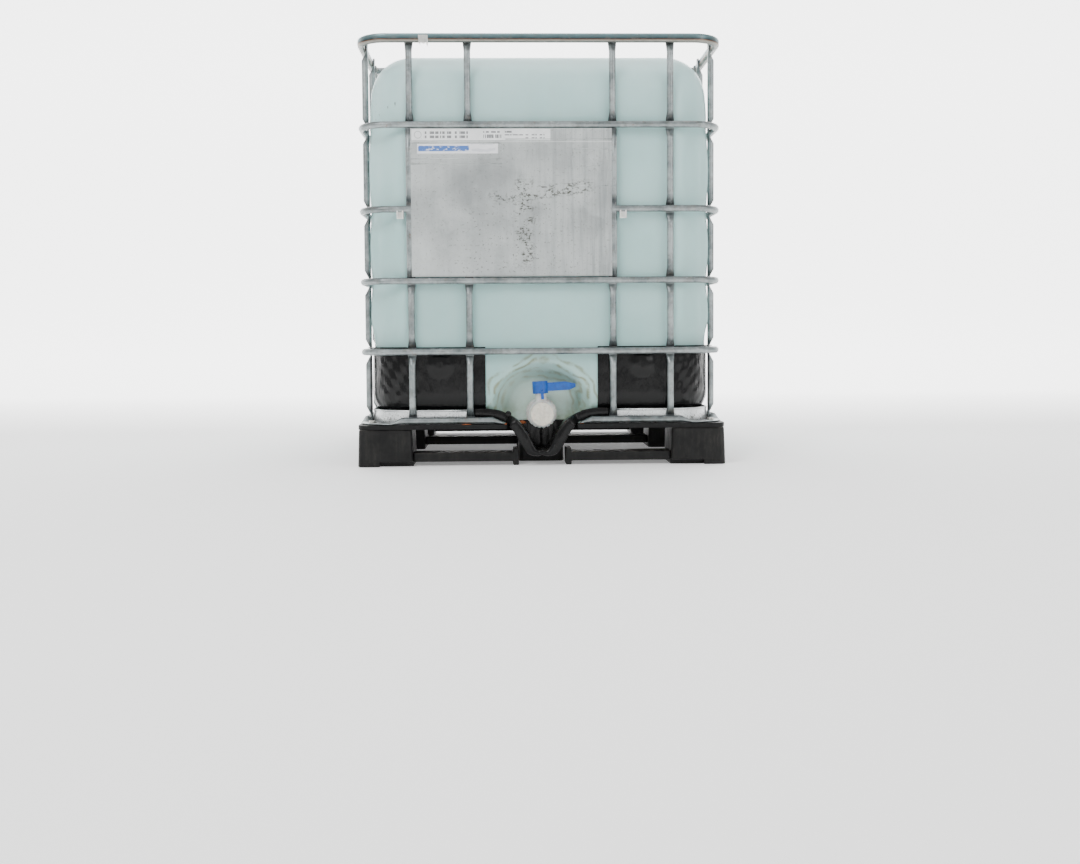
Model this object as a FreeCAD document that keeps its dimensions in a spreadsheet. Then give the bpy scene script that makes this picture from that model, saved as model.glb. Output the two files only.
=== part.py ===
import FreeCAD, Part
import math
import os
import re

import Sketcher
from FreeCAD import Placement, Rotation, Vector

# Intermediate bulk container: a blow-moulded bottle in a galvanised tube cage, held in a steel
# pan on a plastic pallet, with a screw lid on top and a flap valve with a screw cap at the front.
# Frame: millimetres, origin on the floor under the middle of the pallet, +Z up, -Y to the front
# (the valve side), +X to the right of someone who faces the front.

SIZES = (
    ("overall_width", 1000, "pallet, left to right"),
    ("overall_depth", 1200, "pallet, front to rear"),
    ("overall_height", 1160, "floor to the top of the cage ring"),
    # pallet
    ("foot_height", 101, "floor to the underside of the deck"),
    ("corner_foot_width", 150, "corner foot, along X"),
    ("middle_foot_width", 128, "feet on the centre line, along X"),
    ("foot_length", 160, "every foot, along Y"),
    ("foot_draft", 1, "how much narrower a foot is at its top, each side"),
    ("foot_corner", 14, "radius on a foot's upright edges"),
    ("foot_notch_height", 13, "fork tip notch under a corner foot"),
    ("foot_notch_width", 90, "fork tip notch, along X"),
    ("foot_notch_depth", 22, "fork tip notch, along Y"),
    ("deck_thickness", 12, "pallet deck"),
    ("deck_corner", 34, "radius of the deck's corners"),
    ("runner_bottom", 11, "underside of the runners above the floor"),
    ("runner_height", 25, "runner section height"),
    ("runner_width", 72, "runner section width"),
    ("runner_setback", 24, "runner face behind the foot's face"),
    ("post_length", 16, "post at the inner end of each front runner"),
    ("post_height", 46, "that post above the floor"),
    # drain trough
    ("trough_top_half", 96, "half width of the trough at its upper edge"),
    ("trough_mid_half", 62, "half width of the trough at half height"),
    ("trough_low_half", 40, "half width where the trough turns in"),
    ("trough_floor_half", 17, "half width of the trough's floor"),
    ("trough_mid_height", 73, "height of the trough's half-way corner"),
    ("trough_low_height", 41, "height where the trough turns in"),
    ("trough_floor_height", 26, "underside of the trough"),
    ("trough_rim_rise", 15, "trough edge above the deck"),
    ("trough_wall", 20, "thickness of the trough's moulded side"),
    ("trough_floor_wall", 10, "thickness of the trough's floor"),
    ("trough_length", 128, "trough, front to rear"),
    ("trough_back_wall", 9, "rear wall of the trough"),
    ("trough_front_gap", 2, "trough face behind the pallet's front"),
    ("trough_gap", 1, "gap between trough and deck"),
    ("collar_reach", 186, "end of the collar wings from the centre line"),
    ("collar_rise", 42, "top of the collar wings above the deck"),
    ("collar_end_drop", 24, "lower edge of the wing's outer end below its top"),
    ("collar_flat", 52, "length of the wing's nearly level upper edge"),
    ("collar_slope", 5, "fall of that edge"),
    ("collar_root", 8, "wing's inner end above the trough's edge"),
    ("collar_plug_radius", 8.5, "round plug on the collar"),
    ("collar_plug_rise", 27, "plug above the deck"),
    ("collar_plug_place", 92, "plug from the centre line"),
    # cage
    ("cage_inset", 6, "cage rails behind the pallet's edge"),
    ("tube_radius", 9, "cage tube, outer"),
    ("tube_wall", 1.5, "cage tube wall"),
    ("rail_corner", 75, "corner radius of the rails on their centre line"),
    ("upright_pinch", 6, "thickness of an upright where it is pressed under a rail"),
    ("pinch_half_width", 11.5, "half width of an upright where it is pressed"),
    ("pinch_half_length", 11, "half length of a pressed stretch"),
    ("pinch_run", 34, "distance from a rail's centre to the full round tube"),
    ("ring_height", 24, "top ring section, height"),
    ("ring_edge", 7, "corner radius of the top ring's section"),
    ("rail_upper", 919, "height of the upper hoop"),
    ("rail_middle", 694, "height of the middle hoop"),
    ("rail_lower", 502, "height of the lower hoop"),
    ("rail_guard", 311, "height of the hoop above the corner guards"),
    ("rail_base_lift", 11, "centre of the base rail above the deck"),
    ("base_rail_gap", 105, "half gap in the base rail at the valve"),
    ("flat_end_length", 30, "pressed end of a tube"),
    ("lug_width", 27, "flattened corner of the base rail, width"),
    ("lug_thickness", 6, "flattened corner of the base rail, thickness"),
    ("front_outer", 351, "outer front uprights from the centre line"),
    ("front_inner", 195, "inner front uprights from the centre line"),
    ("side_spacing", 188, "spacing of the side uprights"),
    ("cross_bar_place", 190, "top cross bars from the centre"),
    ("cross_bar_drop", 14, "cross bar centre below the top of the ring"),
    ("end_plate_thickness", 3, "plate on each end of a cross bar"),
    ("end_plate_half", 25, "half width of that plate"),
    ("end_plate_height", 20, "height of that plate"),
    ("end_screw_place", 18, "screws from the middle of that plate"),
    # fasteners
    ("bolt_radius", 5, "cage bolt shank"),
    ("bolt_head_radius", 9, "cage bolt head, across corners / 2"),
    ("bolt_head_height", 6, "cage bolt head"),
    ("bolt_gap", 0.3, "radial gap round a bolt"),
    ("screw_radius", 3, "small screw shank"),
    ("screw_head_radius", 6, "small screw head"),
    ("screw_head_height", 3.5, "small screw head height"),
    ("clip_place", 27, "rail clips beside the uprights"),
    ("clip_width", 18, "rail clip"),
    ("clip_drop", 17, "rail clip below the rail"),
    ("clip_wall", 3.5, "rail clip wall"),
    # layers between cage and bottle
    ("layer_gap", 0.4, "gap between neighbouring layers"),
    ("pan_thickness", 1.2, "base pan sheet"),
    ("pan_lip_height", 39, "base pan lip above the deck"),
    ("pan_mouth_half", 188, "half width of the gap in the pan's front lip"),
    ("guard_wall", 3, "corner guard wall"),
    ("guard_lip_gap", 1.5, "lip of a guard above the hoop it reaches over"),
    ("guard_reach_x", 153, "inner edge of a guard from the centre line, front"),
    ("guard_reach_y", 250, "inner edge of a guard from the centre line, side"),
    ("guard_boss_place", 276, "boss on a guard from the centre line"),
    ("guard_boss_height", 275, "height of the boss above the floor"),
    ("guard_boss_radius", 36, "boss on a guard"),
    ("guard_boss_top", 25, "boss at its outer face"),
    ("guard_boss_rise", 6, "how far the boss stands out"),
    ("guard_lip_reach", 20, "lip of a guard, out over the rail"),
    ("guard_lip_start_x", 366, "inner end of the lip from the centre line, front"),
    ("guard_lip_start_y", 486, "inner end of the lip from the centre line, side"),
    ("guard_lip_thickness", 2.5, "lip of a guard"),
    ("guard_relief_height", 172, "top of the relief that clears the collar wings"),
    ("guard_relief_depth", 60, "depth of that relief from the guard's front face"),
    # bottle
    ("bottle_wall", 3, "bottle wall"),
    ("bottle_top", 1122, "top face of the bottle"),
    ("bottle_corner", 120, "radius of the bottle's upright edges"),
    ("bottle_shoulder", 110, "radius of the bottle's top edges"),
    ("bottle_heel", 55, "radius of the bottle's bottom edges"),
    ("recess_mouth", 145, "valve recess radius at the front face"),
    ("recess_floor", 88, "valve recess radius at its back"),
    ("recess_depth", 72, "valve recess depth"),
    ("neck_bore", 75, "fill neck bore radius"),
    ("neck_wall", 5, "fill neck wall"),
    ("neck_rise", 19, "fill neck above the bottle's top"),
    # lid
    ("lid_skirt_gap", 3.5, "radial gap between neck and lid, room for the thread"),
    ("lid_skirt_wall", 6, "lid skirt wall"),
    ("lid_plate", 4, "lid top plate"),
    ("lid_floor_gap", 2, "lid skirt above the bottle"),
    ("lid_rib_rise", 5, "grip ribs on the lid"),
    ("lid_bar_half", 66, "half length of the bars on the lid's top"),
    ("gasket_thickness", 2.6, "lid and cap gaskets"),
    ("seal_gap", 0.3, "gap between a gasket and its seat"),
    # valve
    ("valve_height", 140, "valve axis above the floor"),
    ("valve_tilt", 3, "valve turned about its own axis, degrees"),
    ("outlet_bore", 24, "flow bore radius"),
    ("outlet_neck_radius", 31, "bottle's outlet neck"),
    ("outlet_neck_length", 22, "bottle's outlet neck"),
    ("neck_gasket_thickness", 2.5, "gasket between neck and valve"),
    ("flange_radius", 36, "valve inlet flange"),
    ("flange_thickness", 7, "valve inlet flange"),
    ("waist_radius", 30.5, "valve body between flange and barrel"),
    ("waist_length", 8, "valve body between flange and barrel"),
    ("barrel_radius", 36, "valve body round the flap"),
    ("barrel_length", 36, "valve body round the flap"),
    ("spout_radius", 27, "valve spout"),
    ("spout_length", 21, "valve spout"),
    ("nut_radius", 42, "union nut"),
    ("nut_gap", 0.4, "radial gap inside the union nut"),
    ("nut_overlap", 15, "union nut over the bottle's neck"),
    ("nut_lip", 5, "union nut lip behind the flange"),
    ("nut_grip", 4, "grip grooves round the union nut"),
    ("liner_half", 7, "seat liner half length"),
    ("liner_thickness", 3, "seat liner wall"),
    ("flap_gap", 0.3, "flap to liner"),
    ("flap_thickness", 5, "flap"),
    ("flap_hub_radius", 9, "flap hub round the stem"),
    ("stem_radius", 6, "valve stem"),
    ("stem_fit", 0.05, "running fit of the stem"),
    ("stem_foot", 30, "stem below the valve axis"),
    ("tower_radius", 15, "stem tower"),
    ("tower_top", 54, "stem tower above the valve axis"),
    ("seal_ring", 2.4, "stem seal ring section"),
    ("hub_bottom", 55, "handle hub above the valve axis, lower face"),
    ("hub_top", 88, "handle hub above the valve axis, upper face"),
    ("hub_radius", 21.5, "handle hub"),
    ("lever_length", 97, "lever tip from the stem"),
    ("lever_width", 17, "lever, along Y"),
    ("lever_low", 60, "lever above the valve axis, lower face"),
    ("lever_high", 83, "lever above the valve axis, upper face"),
    ("lever_tip", 9, "lever tip height"),
    ("peg_width", 8, "stop peg under the handle"),
    ("peg_radius", 17, "stop peg from the stem"),
    ("peg_bottom", 39, "stop peg above the valve axis"),
    ("cap_wall", 1.6, "outlet cap skirt wall"),
    ("cap_plate", 3, "outlet cap front plate"),
    ("cap_gap", 2.4, "radial gap between spout and cap, room for the thread"),
    ("cap_skirt", 16, "outlet cap over the spout"),
    ("cap_grip_rise", 1.2, "grip ribs on the cap"),
    ("cap_bar_half", 5, "half width of the grip bar on the cap"),
    # plate and labels
    ("plate_thickness", 1, "label plate sheet"),
    ("plate_flange", 10, "side flange of the plate"),
    ("plate_margin", 1.5, "plate edge to the rail"),
    ("plate_notch", 13, "half height of the notch for the middle rail"),
    ("emboss_rise", 0.6, "embossed lines on the plate"),
    ("emboss_line", 3, "width of an embossed line"),
    ("emboss_rule_drop", 83, "first embossed rule below the plate's top"),
    ("emboss_rule_gap", 10, "between the embossed rules"),
    ("emboss_rule_length", 252, "length of the embossed rules"),
    ("emboss_square", 104, "embossed square"),
    ("emboss_square_drop", 52, "embossed square below the plate's top"),
    ("emboss_square_margin", 15, "embossed square from the plate's right edge"),
    ("label_margin", 15, "labels from the plate's left edge"),
    ("label_drop", 2, "upper label below the plate's top"),
    ("label_spacing", 9, "between the labels"),
    ("document_label_length", 372, "upper label"),
    ("document_label_height", 30, "upper label"),
    ("grade_label_length", 216, "lower label"),
    ("grade_label_height", 26, "lower label"),
    ("label_thickness", 0.3, "labels"),
)

# Places worked out from the sizes. Each is one formula over sizes and earlier places.
LAYOUT = (
    ("deck_top", "foot_height + deck_thickness"),
    ("half_width", "overall_width / 2"),
    ("half_depth", "overall_depth / 2"),
    ("rail_x", "half_width - cage_inset - tube_radius"),
    ("rail_y", "half_depth - cage_inset - tube_radius"),
    ("upright_x", "rail_x - upright_pinch"),
    ("upright_y", "rail_y - upright_pinch"),
    ("cage_inner_x", "upright_x - tube_radius"),
    ("cage_inner_y", "upright_y - tube_radius"),
    ("pan_x", "cage_inner_x - layer_gap"),
    ("pan_y", "cage_inner_y - layer_gap"),
    ("guard_x", "pan_x - pan_thickness - layer_gap"),
    ("guard_y", "pan_y - pan_thickness - layer_gap"),
    ("bottle_x", "guard_x - guard_wall - layer_gap"),
    ("bottle_y", "guard_y - guard_wall - layer_gap"),
    ("guard_bottom", "deck_top + pan_thickness"),
    ("guard_top", "rail_guard + tube_radius + guard_lip_gap + guard_lip_thickness"),
    ("bottle_bottom", "guard_bottom + guard_wall"),
    ("rail_base", "deck_top + rail_base_lift"),
    ("bolt_x", "rail_x - rail_corner * (1 - sqrt(0.5))"),
    ("bolt_y", "rail_y - rail_corner * (1 - sqrt(0.5))"),
    ("ring_middle", "overall_height - ring_height / 2"),
    ("neck_top", "bottle_top + neck_rise"),
    ("lid_inner", "neck_bore + neck_wall + lid_skirt_gap"),
    ("lid_under", "neck_top + seal_gap + gasket_thickness"),
    ("recess_back", "bottle_y - recess_depth"),
    ("outlet_neck_end", "recess_back + outlet_neck_length"),
    ("flange_start", "outlet_neck_end + neck_gasket_thickness"),
    ("waist_start", "flange_start + flange_thickness"),
    ("barrel_start", "waist_start + waist_length"),
    ("stem_y", "barrel_start + barrel_length / 2"),
    ("spout_start", "barrel_start + barrel_length"),
    ("spout_end", "spout_start + spout_length"),
    ("cap_under", "spout_end + seal_gap + gasket_thickness"),
    ("cap_inner", "spout_radius + cap_gap"),
    ("trough_front", "half_depth - trough_front_gap"),
    ("trough_back", "trough_front - trough_length"),
    ("plate_back", "upright_y + tube_radius"),
    ("plate_left", "-front_outer - tube_radius"),
    ("plate_right", "front_inner + tube_radius"),
    ("plate_bottom", "rail_lower + tube_radius + plate_margin"),
    ("plate_top", "rail_upper - tube_radius - plate_margin"),
)

doc = FreeCAD.newDocument("bulk_container")


def fill_sheet(name, rows):
    """One spreadsheet of named cells: the name, the number or formula, and a remark."""
    sheet = doc.addObject("Spreadsheet::Sheet", name)
    for number, row in enumerate(rows, start=1):
        sheet.set(f"A{number}", row[0])
        sheet.set(f"B{number}", str(row[1]))
        sheet.setAlias(f"B{number}", row[0])
        if len(row) > 2:
            sheet.set(f"C{number}", row[2])
    doc.recompute()
    return sheet


SIZE_NAMES = {row[0] for row in SIZES}
LAYOUT_NAMES = {row[0] for row in LAYOUT}


def expression(text, own_sheet=False):
    """Turn a formula over plain names into one that FreeCAD reads from the sheets."""
    def full_name(match):
        word = match.group(0)
        if word in SIZE_NAMES:
            return "Sizes." + word
        if word in LAYOUT_NAMES and not own_sheet:
            return "Layout." + word
        return word
    return re.sub(r"[a-z][a-z0-9_]*", full_name, text)


sizes = fill_sheet("Sizes", SIZES)
layout = fill_sheet("Layout", [(name, "=" + expression(text, True)) for name, text in LAYOUT])


def value(text):
    """The number that a formula gives now."""
    return float(layout.evalExpression(expression(str(text))))


def bind(thing, target, text):
    thing.setExpression(target, expression(str(text)))


def minus(text):
    return f"-({text})"


# ---- Part primitives ----

TURNS = {
    "x": Rotation(Vector(0, 1, 0), 90),
    "y": Rotation(Vector(1, 0, 0), -90),
    "-y": Rotation(Vector(1, 0, 0), 90),
    "z": Rotation(),
}


def put(thing, place, turn=None):
    if turn is not None:
        thing.Placement = Placement(Vector(), turn)
    for corner, text in zip("xyz", place):
        bind(thing, f"Placement.Base.{corner}", text)


def block(name, x_span, y_span, z_span):
    """A box between two planes along each axis."""
    thing = doc.addObject("Part::Box", name)
    for side, (low, high) in zip(("Length", "Width", "Height"), (x_span, y_span, z_span)):
        bind(thing, side, f"({high}) - ({low})")
    put(thing, [low for low, high in (x_span, y_span, z_span)])
    return thing


def rod(name, radius, length, place, along="z"):
    thing = doc.addObject("Part::Cylinder", name)
    bind(thing, "Radius", radius)
    bind(thing, "Height", length)
    put(thing, place, TURNS[along])
    return thing


def taper(name, near_radius, far_radius, length, place, along="z"):
    thing = doc.addObject("Part::Cone", name)
    bind(thing, "Radius1", near_radius)
    bind(thing, "Radius2", far_radius)
    bind(thing, "Height", length)
    put(thing, place, TURNS[along])
    return thing


def fuse(name, *pieces):
    thing = doc.addObject("Part::MultiFuse", name)
    thing.Shapes = list(pieces)
    return thing


def group(name, *pieces):
    """Separate solids that share one name."""
    thing = doc.addObject("Part::Compound", name)
    thing.Links = list(pieces)
    return thing


def cut(name, base, *tools):
    thing = doc.addObject("Part::Cut", name)
    thing.Base = base
    thing.Tool = tools[0] if len(tools) == 1 else fuse(name + "_tools", *tools)
    return thing


def common(name, *pieces):
    thing = doc.addObject("Part::MultiCommon", name)
    thing.Shapes = list(pieces)
    return thing


def mirrored(name, source, normal):
    thing = doc.addObject("Part::Mirroring", name)
    thing.Source = source
    thing.Normal = normal
    return thing


# ---- PartDesign bodies ----

def new_body(name):
    return doc.addObject("PartDesign::Body", name)


def datum(body, role):
    return next(item for item in body.Origin.OriginFeatures if item.Role == role)


def new_sketch(body, name, role="XY_Plane", offset="0"):
    sketch = body.newObject("Sketcher::SketchObject", name)
    sketch.AttachmentSupport = [(datum(body, role), "")]
    sketch.MapMode = "FlatFace"
    bind(sketch, "AttachmentOffset.Base.z", offset)
    return sketch


def hold(sketch, kind, item, point, text):
    """Hold one point of the sketch at a distance from the origin, along one axis."""
    distance = value(text)
    if abs(distance) < 1e-9:
        axis = -2 if kind == "DistanceX" else -1
        sketch.addConstraint(Sketcher.Constraint("PointOnObject", item, point, axis))
        return
    index = sketch.addConstraint(Sketcher.Constraint(kind, -1, 1, item, point, distance))
    bind(sketch, f"Constraints[{index}]", text)


def outline(sketch, points):
    """A closed outline of straight edges through points given as formulas."""
    spots = [Vector(value(x), value(y), 0) for x, y in points]
    first = sketch.GeometryCount
    count = len(points)
    for number in range(count):
        sketch.addGeometry(Part.LineSegment(spots[number], spots[(number + 1) % count]), False)
    for number in range(count):
        following = first + (number + 1) % count
        sketch.addConstraint(Sketcher.Constraint("Coincident", first + number, 2, following, 1))
    for number, (x, y) in enumerate(points):
        hold(sketch, "DistanceX", first + number, 1, x)
        hold(sketch, "DistanceY", first + number, 1, y)


def rectangle(sketch, x_span, y_span):
    (left, right), (low, high) = x_span, y_span
    outline(sketch, [(left, low), (right, low), (right, high), (left, high)])


def circle(sketch, x, y, radius):
    middle = Vector(value(x), value(y), 0)
    item = sketch.addGeometry(Part.Circle(middle, Vector(0, 0, 1), value(radius)), False)
    hold(sketch, "DistanceX", item, 3, x)
    hold(sketch, "DistanceY", item, 3, y)
    index = sketch.addConstraint(Sketcher.Constraint("Radius", item, value(radius)))
    bind(sketch, f"Constraints[{index}]", radius)


def pad(body, sketch, length, name):
    feature = body.newObject("PartDesign::Pad", name)
    feature.Profile = sketch
    bind(feature, "Length", length)
    body.Tip = feature
    doc.recompute()
    return feature


def pocket(body, sketch, length, name, reverse=False):
    """Cut a pocket and make sure that it did cut."""
    before = body.Shape.Volume
    feature = body.newObject("PartDesign::Pocket", name)
    feature.Profile = sketch
    bind(feature, "Length", length)
    feature.Reversed = reverse
    body.Tip = feature
    doc.recompute()
    if body.Shape.Volume > before - 1e-3:
        raise RuntimeError(f"{name} cuts nothing")
    return feature


def revolve(body, sketch, axis, name):
    feature = body.newObject("PartDesign::Revolution", name)
    feature.Profile = sketch
    feature.ReferenceAxis = (datum(body, axis), [""])
    feature.Angle = 360
    body.Tip = feature
    doc.recompute()
    return feature


def round_edges(body, feature, radius, chosen, name):
    """Round the edges of a feature for which chosen(edge) is true."""
    names = [f"Edge{number}" for number, edge in enumerate(feature.Shape.Edges, start=1)
             if chosen(edge)]
    rounding = body.newObject("PartDesign::Fillet", name)
    rounding.Base = (feature, names)
    bind(rounding, "Radius", radius)
    body.Tip = rounding
    doc.recompute()
    return rounding


def repeat_round(body, feature, axis, count, name):
    pattern = body.newObject("PartDesign::PolarPattern", name)
    pattern.Originals = [feature]
    pattern.Axis = (datum(body, axis), [""])
    pattern.Angle = 360
    pattern.Occurrences = count
    body.Tip = pattern
    doc.recompute()
    return pattern


def is_upright(edge):
    box = edge.BoundBox
    return box.ZLength > 1 and box.XLength < 1e-6 and box.YLength < 1e-6


def lies_at(height):
    def test(edge):
        return abs(edge.BoundBox.ZMin - height) < 1e-4 and abs(edge.BoundBox.ZMax - height) < 1e-4
    return test


def rounded_block(name, half_x, half_y, low, high, corner, top=None, bottom=None):
    """A block centred on the vertical axis, rounded on its uprights and, if asked, above and below."""
    body = new_body(name)
    sketch = new_sketch(body, name + "_plan", "XY_Plane", low)
    rectangle(sketch, (minus(half_x), half_x), (minus(half_y), half_y))
    last = pad(body, sketch, f"({high}) - ({low})", name + "_height")
    last = round_edges(body, last, corner, is_upright, name + "_corners")
    if top is not None:
        last = round_edges(body, last, top, lies_at(value(high)), name + "_shoulder")
    if bottom is not None:
        round_edges(body, last, bottom, lies_at(value(low)), name + "_heel")
    return body


PARTS = []


def keep(name, thing):
    """Name a finished sub-part: the name is also its file's name."""
    thing.Label = name
    if thing.Label != name:
        raise RuntimeError(f"the name {name} is taken")
    PARTS.append(thing)
    return thing


def keep_shape(name, shape, place=None):
    """A sub-part whose shape Part's own functions made, with its placement set after it."""
    thing = doc.addObject("Part::Feature", name)
    thing.Shape = shape
    if place is not None:
        thing.Placement = place
    return keep(name, thing)


# ---- pallet ----

CORNERS = ((-1, -1), (1, -1), (-1, 1), (1, 1))
SIDE_WORD = {-1: "left", 0: "middle", 1: "right"}
END_WORD = {-1: "front", 0: "middle", 1: "rear"}


def make_deck():
    body = new_body("pallet_deck")
    plan = new_sketch(body, "deck_plan", "XY_Plane", "foot_height")
    rectangle(plan, ("-half_width", "half_width"), ("-half_depth", "half_depth"))
    plate = pad(body, plan, "deck_thickness", "deck_plate")
    round_edges(body, plate, "deck_corner", is_upright, "deck_corners")
    mouth = new_sketch(body, "deck_mouth", "XY_Plane", "deck_top")
    reach = "trough_top_half + trough_gap"
    rectangle(mouth, (minus(reach), reach), ("-half_depth - deck_corner", "trough_gap - trough_back"))
    pocket(body, mouth, "deck_thickness", "trough_mouth")
    holes = new_sketch(body, "deck_bolt_plan", "XY_Plane", "deck_top")
    for side, end in CORNERS:
        circle(holes, f"{side} * bolt_x", f"{end} * bolt_y", "bolt_radius + bolt_gap")
    pocket(body, holes, "deck_thickness", "deck_bolt_holes")
    return keep("pallet_deck", body)


def make_foot(name, width, length, side, end, place):
    """A tapered foot; a corner foot has a notch that lets a fork tip in under its inner end."""
    body = new_body(name)
    low = new_sketch(body, name + "_sole", "XY_Plane")
    rounded_section(low, "0", "0", f"{width} / 2", f"{length} / 2", "foot_corner")
    high = new_sketch(body, name + "_head", "XY_Plane", "foot_height")
    rounded_section(high, "0", "0", f"{width} / 2 - foot_draft", f"{length} / 2 - foot_draft",
                    "foot_corner - foot_draft")
    loft = body.newObject("PartDesign::AdditiveLoft", name + "_post")
    loft.Profile = low
    loft.Sections = [high]
    loft.Ruled = True
    body.Tip = loft
    doc.recompute()
    if side and end:
        notch = new_sketch(body, name + "_notch_plan", "XY_Plane")
        inner = f"{-side} * (({width}) / 2 - foot_notch_width)"
        outer = f"{-side} * (({width}) / 2 + foot_corner)"
        face = f"{end} * (({length}) / 2 - foot_notch_depth)"
        front = f"{end} * (({length}) / 2 + foot_corner)"
        rectangle(notch, (inner, outer), (face, front))
        pocket(body, notch, "foot_notch_height", name + "_notch", reverse=True)
    put(body, (*place, "0"))
    return keep(name, body)


def make_feet():
    feet = {}
    for end in (-1, 0, 1):
        for side in (-1, 0, 1):
            name = f"foot_{END_WORD[end]}_{SIDE_WORD[side]}"
            width = "corner_foot_width" if side else "middle_foot_width"
            place_x = f"{side} * (half_width - corner_foot_width / 2)"
            place_y = f"{end} * (half_depth - foot_length / 2)"
            if end == -1 and side == 0:
                place_y = "trough_gap - trough_back + foot_length / 2"
            feet[side, end] = make_foot(name, width, "foot_length", side, end, (place_x, place_y))
    return feet


def make_runners(feet):
    """Rails near the floor that tie the feet together, each cut to fit between its feet."""
    height = ("runner_bottom", "runner_bottom + runner_height")
    long_x = ("-half_width + corner_foot_width / 2", "half_width - corner_foot_width / 2")
    long_y = ("-half_depth + foot_length / 2", "half_depth - foot_length / 2")
    for end in (0, 1):
        middle = f"{end} * (half_depth - runner_setback - runner_width / 2)"
        span = (f"{middle} - runner_width / 2", f"{middle} + runner_width / 2")
        bar = block(f"runner_bar_{END_WORD[end]}", long_x, span, height)
        row = [feet[side, end] for side in (-1, 0, 1)]
        keep(f"runner_{END_WORD[end]}", cut(f"runner_{END_WORD[end]}", bar, *row))
    for side in (-1, 1):
        middle = f"{side} * (half_width - runner_setback - runner_width / 2)"
        span = (f"{middle} - runner_width / 2", f"{middle} + runner_width / 2")
        bar = block(f"runner_bar_{SIDE_WORD[side]}", span, long_y, height)
        row = [feet[side, end] for end in (-1, 0, 1)]
        keep(f"runner_{SIDE_WORD[side]}", cut(f"runner_{SIDE_WORD[side]}", bar, *row))
    # The front runner stops either side of the trough, each half on a short post.
    span = ("-half_depth + runner_setback", "-half_depth + runner_setback + runner_width")
    inner = "middle_foot_width / 2"
    halves = []
    for side in (-1, 1):
        word = SIDE_WORD[side]
        far = "half_width - corner_foot_width / 2"
        ends = (minus(far), minus(inner)) if side < 0 else (inner, far)
        post = (minus(inner + " + post_length"), minus(inner))
        if side > 0:
            post = (inner, inner + " + post_length")
        bar = fuse(f"runner_front_bar_{word}", block(f"runner_front_run_{word}", ends, span, height),
                   block(f"runner_front_post_{word}", post, span, ("0", "post_height")))
        halves.append(cut(f"runner_front_{word}_half", bar, feet[side, -1]))
    keep("runner_front", group("runner_front", *halves))


def make_trough():
    """The moulded channel under the valve, with wings that cover the gap in the base pan."""
    body = new_body("spout_trough")
    top = "deck_top + trough_rim_rise"
    right = [("trough_floor_half", "trough_floor_height"), ("trough_low_half", "trough_low_height"),
             ("trough_mid_half", "trough_mid_height"), ("trough_top_half", top)]
    left = [(minus(x), z) for x, z in reversed(right)]
    outside = new_sketch(body, "trough_outside", "XZ_Plane", "trough_back")
    outline(outside, right + left)
    pad(body, outside, "trough_length", "trough_mass")
    above = f"{top} + trough_wall"
    floor = "trough_floor_height + trough_floor_wall"
    right = [("trough_floor_half / 2", floor), ("trough_low_half - trough_wall", "trough_low_height + trough_floor_wall / 2"),
             ("trough_mid_half - trough_wall", "trough_mid_height"), ("trough_top_half - trough_wall", top),
             ("trough_top_half - trough_wall", above)]
    left = [(minus(x), z) for x, z in reversed(right)]
    inside = new_sketch(body, "trough_inside", "XZ_Plane", "trough_front")
    outline(inside, right + left)
    pocket(body, inside, "trough_length - trough_back_wall", "trough_channel")
    step = new_sketch(body, "trough_step_plan", "XZ_Plane", "bottle_y + layer_gap")
    rectangle(step, ("-trough_top_half - trough_gap", "trough_top_half + trough_gap"), ("deck_top", above))
    pocket(body, step, "trough_length", "trough_step")
    wings = new_sketch(body, "collar_plan", "XZ_Plane", "bottle_y + layer_gap")
    for side in (-1, 1):
        outline(wings, [
            (f"{side} * (trough_top_half - trough_wall / 2)", "deck_top + 2 * trough_gap"),
            (f"{side} * collar_reach", "deck_top + collar_rise - collar_end_drop"),
            (f"{side} * collar_reach", "deck_top + collar_rise"),
            (f"{side} * (collar_reach - collar_flat)", "deck_top + collar_rise - collar_slope"),
            (f"{side} * (trough_top_half - collar_slope)", "deck_top + trough_rim_rise + collar_root"),
            (f"{side} * (trough_top_half - trough_wall / 2)", "deck_top + trough_rim_rise"),
        ])
    pad(body, wings, "pan_y - bottle_y - layer_gap", "collar_wings")
    plug = new_sketch(body, "collar_plug_plan", "XZ_Plane", "pan_y - trough_gap")
    circle(plug, "-collar_plug_place", "deck_top + collar_plug_rise", "collar_plug_radius")
    pad(body, plug, "collar_plug_radius", "collar_plug")
    return keep("spout_trough", body)


# ---- base pan, corner guards and bottle ----

def make_pan():
    corner = "bottle_corner + pan_x - bottle_x"
    top = "deck_top + pan_lip_height"
    outside = rounded_block("pan_outside", "pan_x", "pan_y", "deck_top", top, corner)
    inside = rounded_block("pan_inside", "pan_x - pan_thickness", "pan_y - pan_thickness",
                           "deck_top + pan_thickness", f"{top} + pan_thickness", f"{corner} - pan_thickness")
    lip_gap = block("pan_lip_gap", ("-pan_mouth_half", "pan_mouth_half"),
                    ("-pan_y - pan_thickness", "-bottle_y - layer_gap + pan_thickness"),
                    ("deck_top - pan_thickness", f"{top} + pan_thickness"))
    reach = "trough_top_half + 2 * trough_gap"
    floor_gap = block("pan_floor_gap", (minus(reach), reach), ("-pan_y - pan_thickness", "-trough_back"),
                      ("deck_top - pan_thickness", f"{top} + pan_thickness"))
    return keep("base_pan", cut("base_pan", outside, inside, lip_gap, floor_gap))


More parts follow.
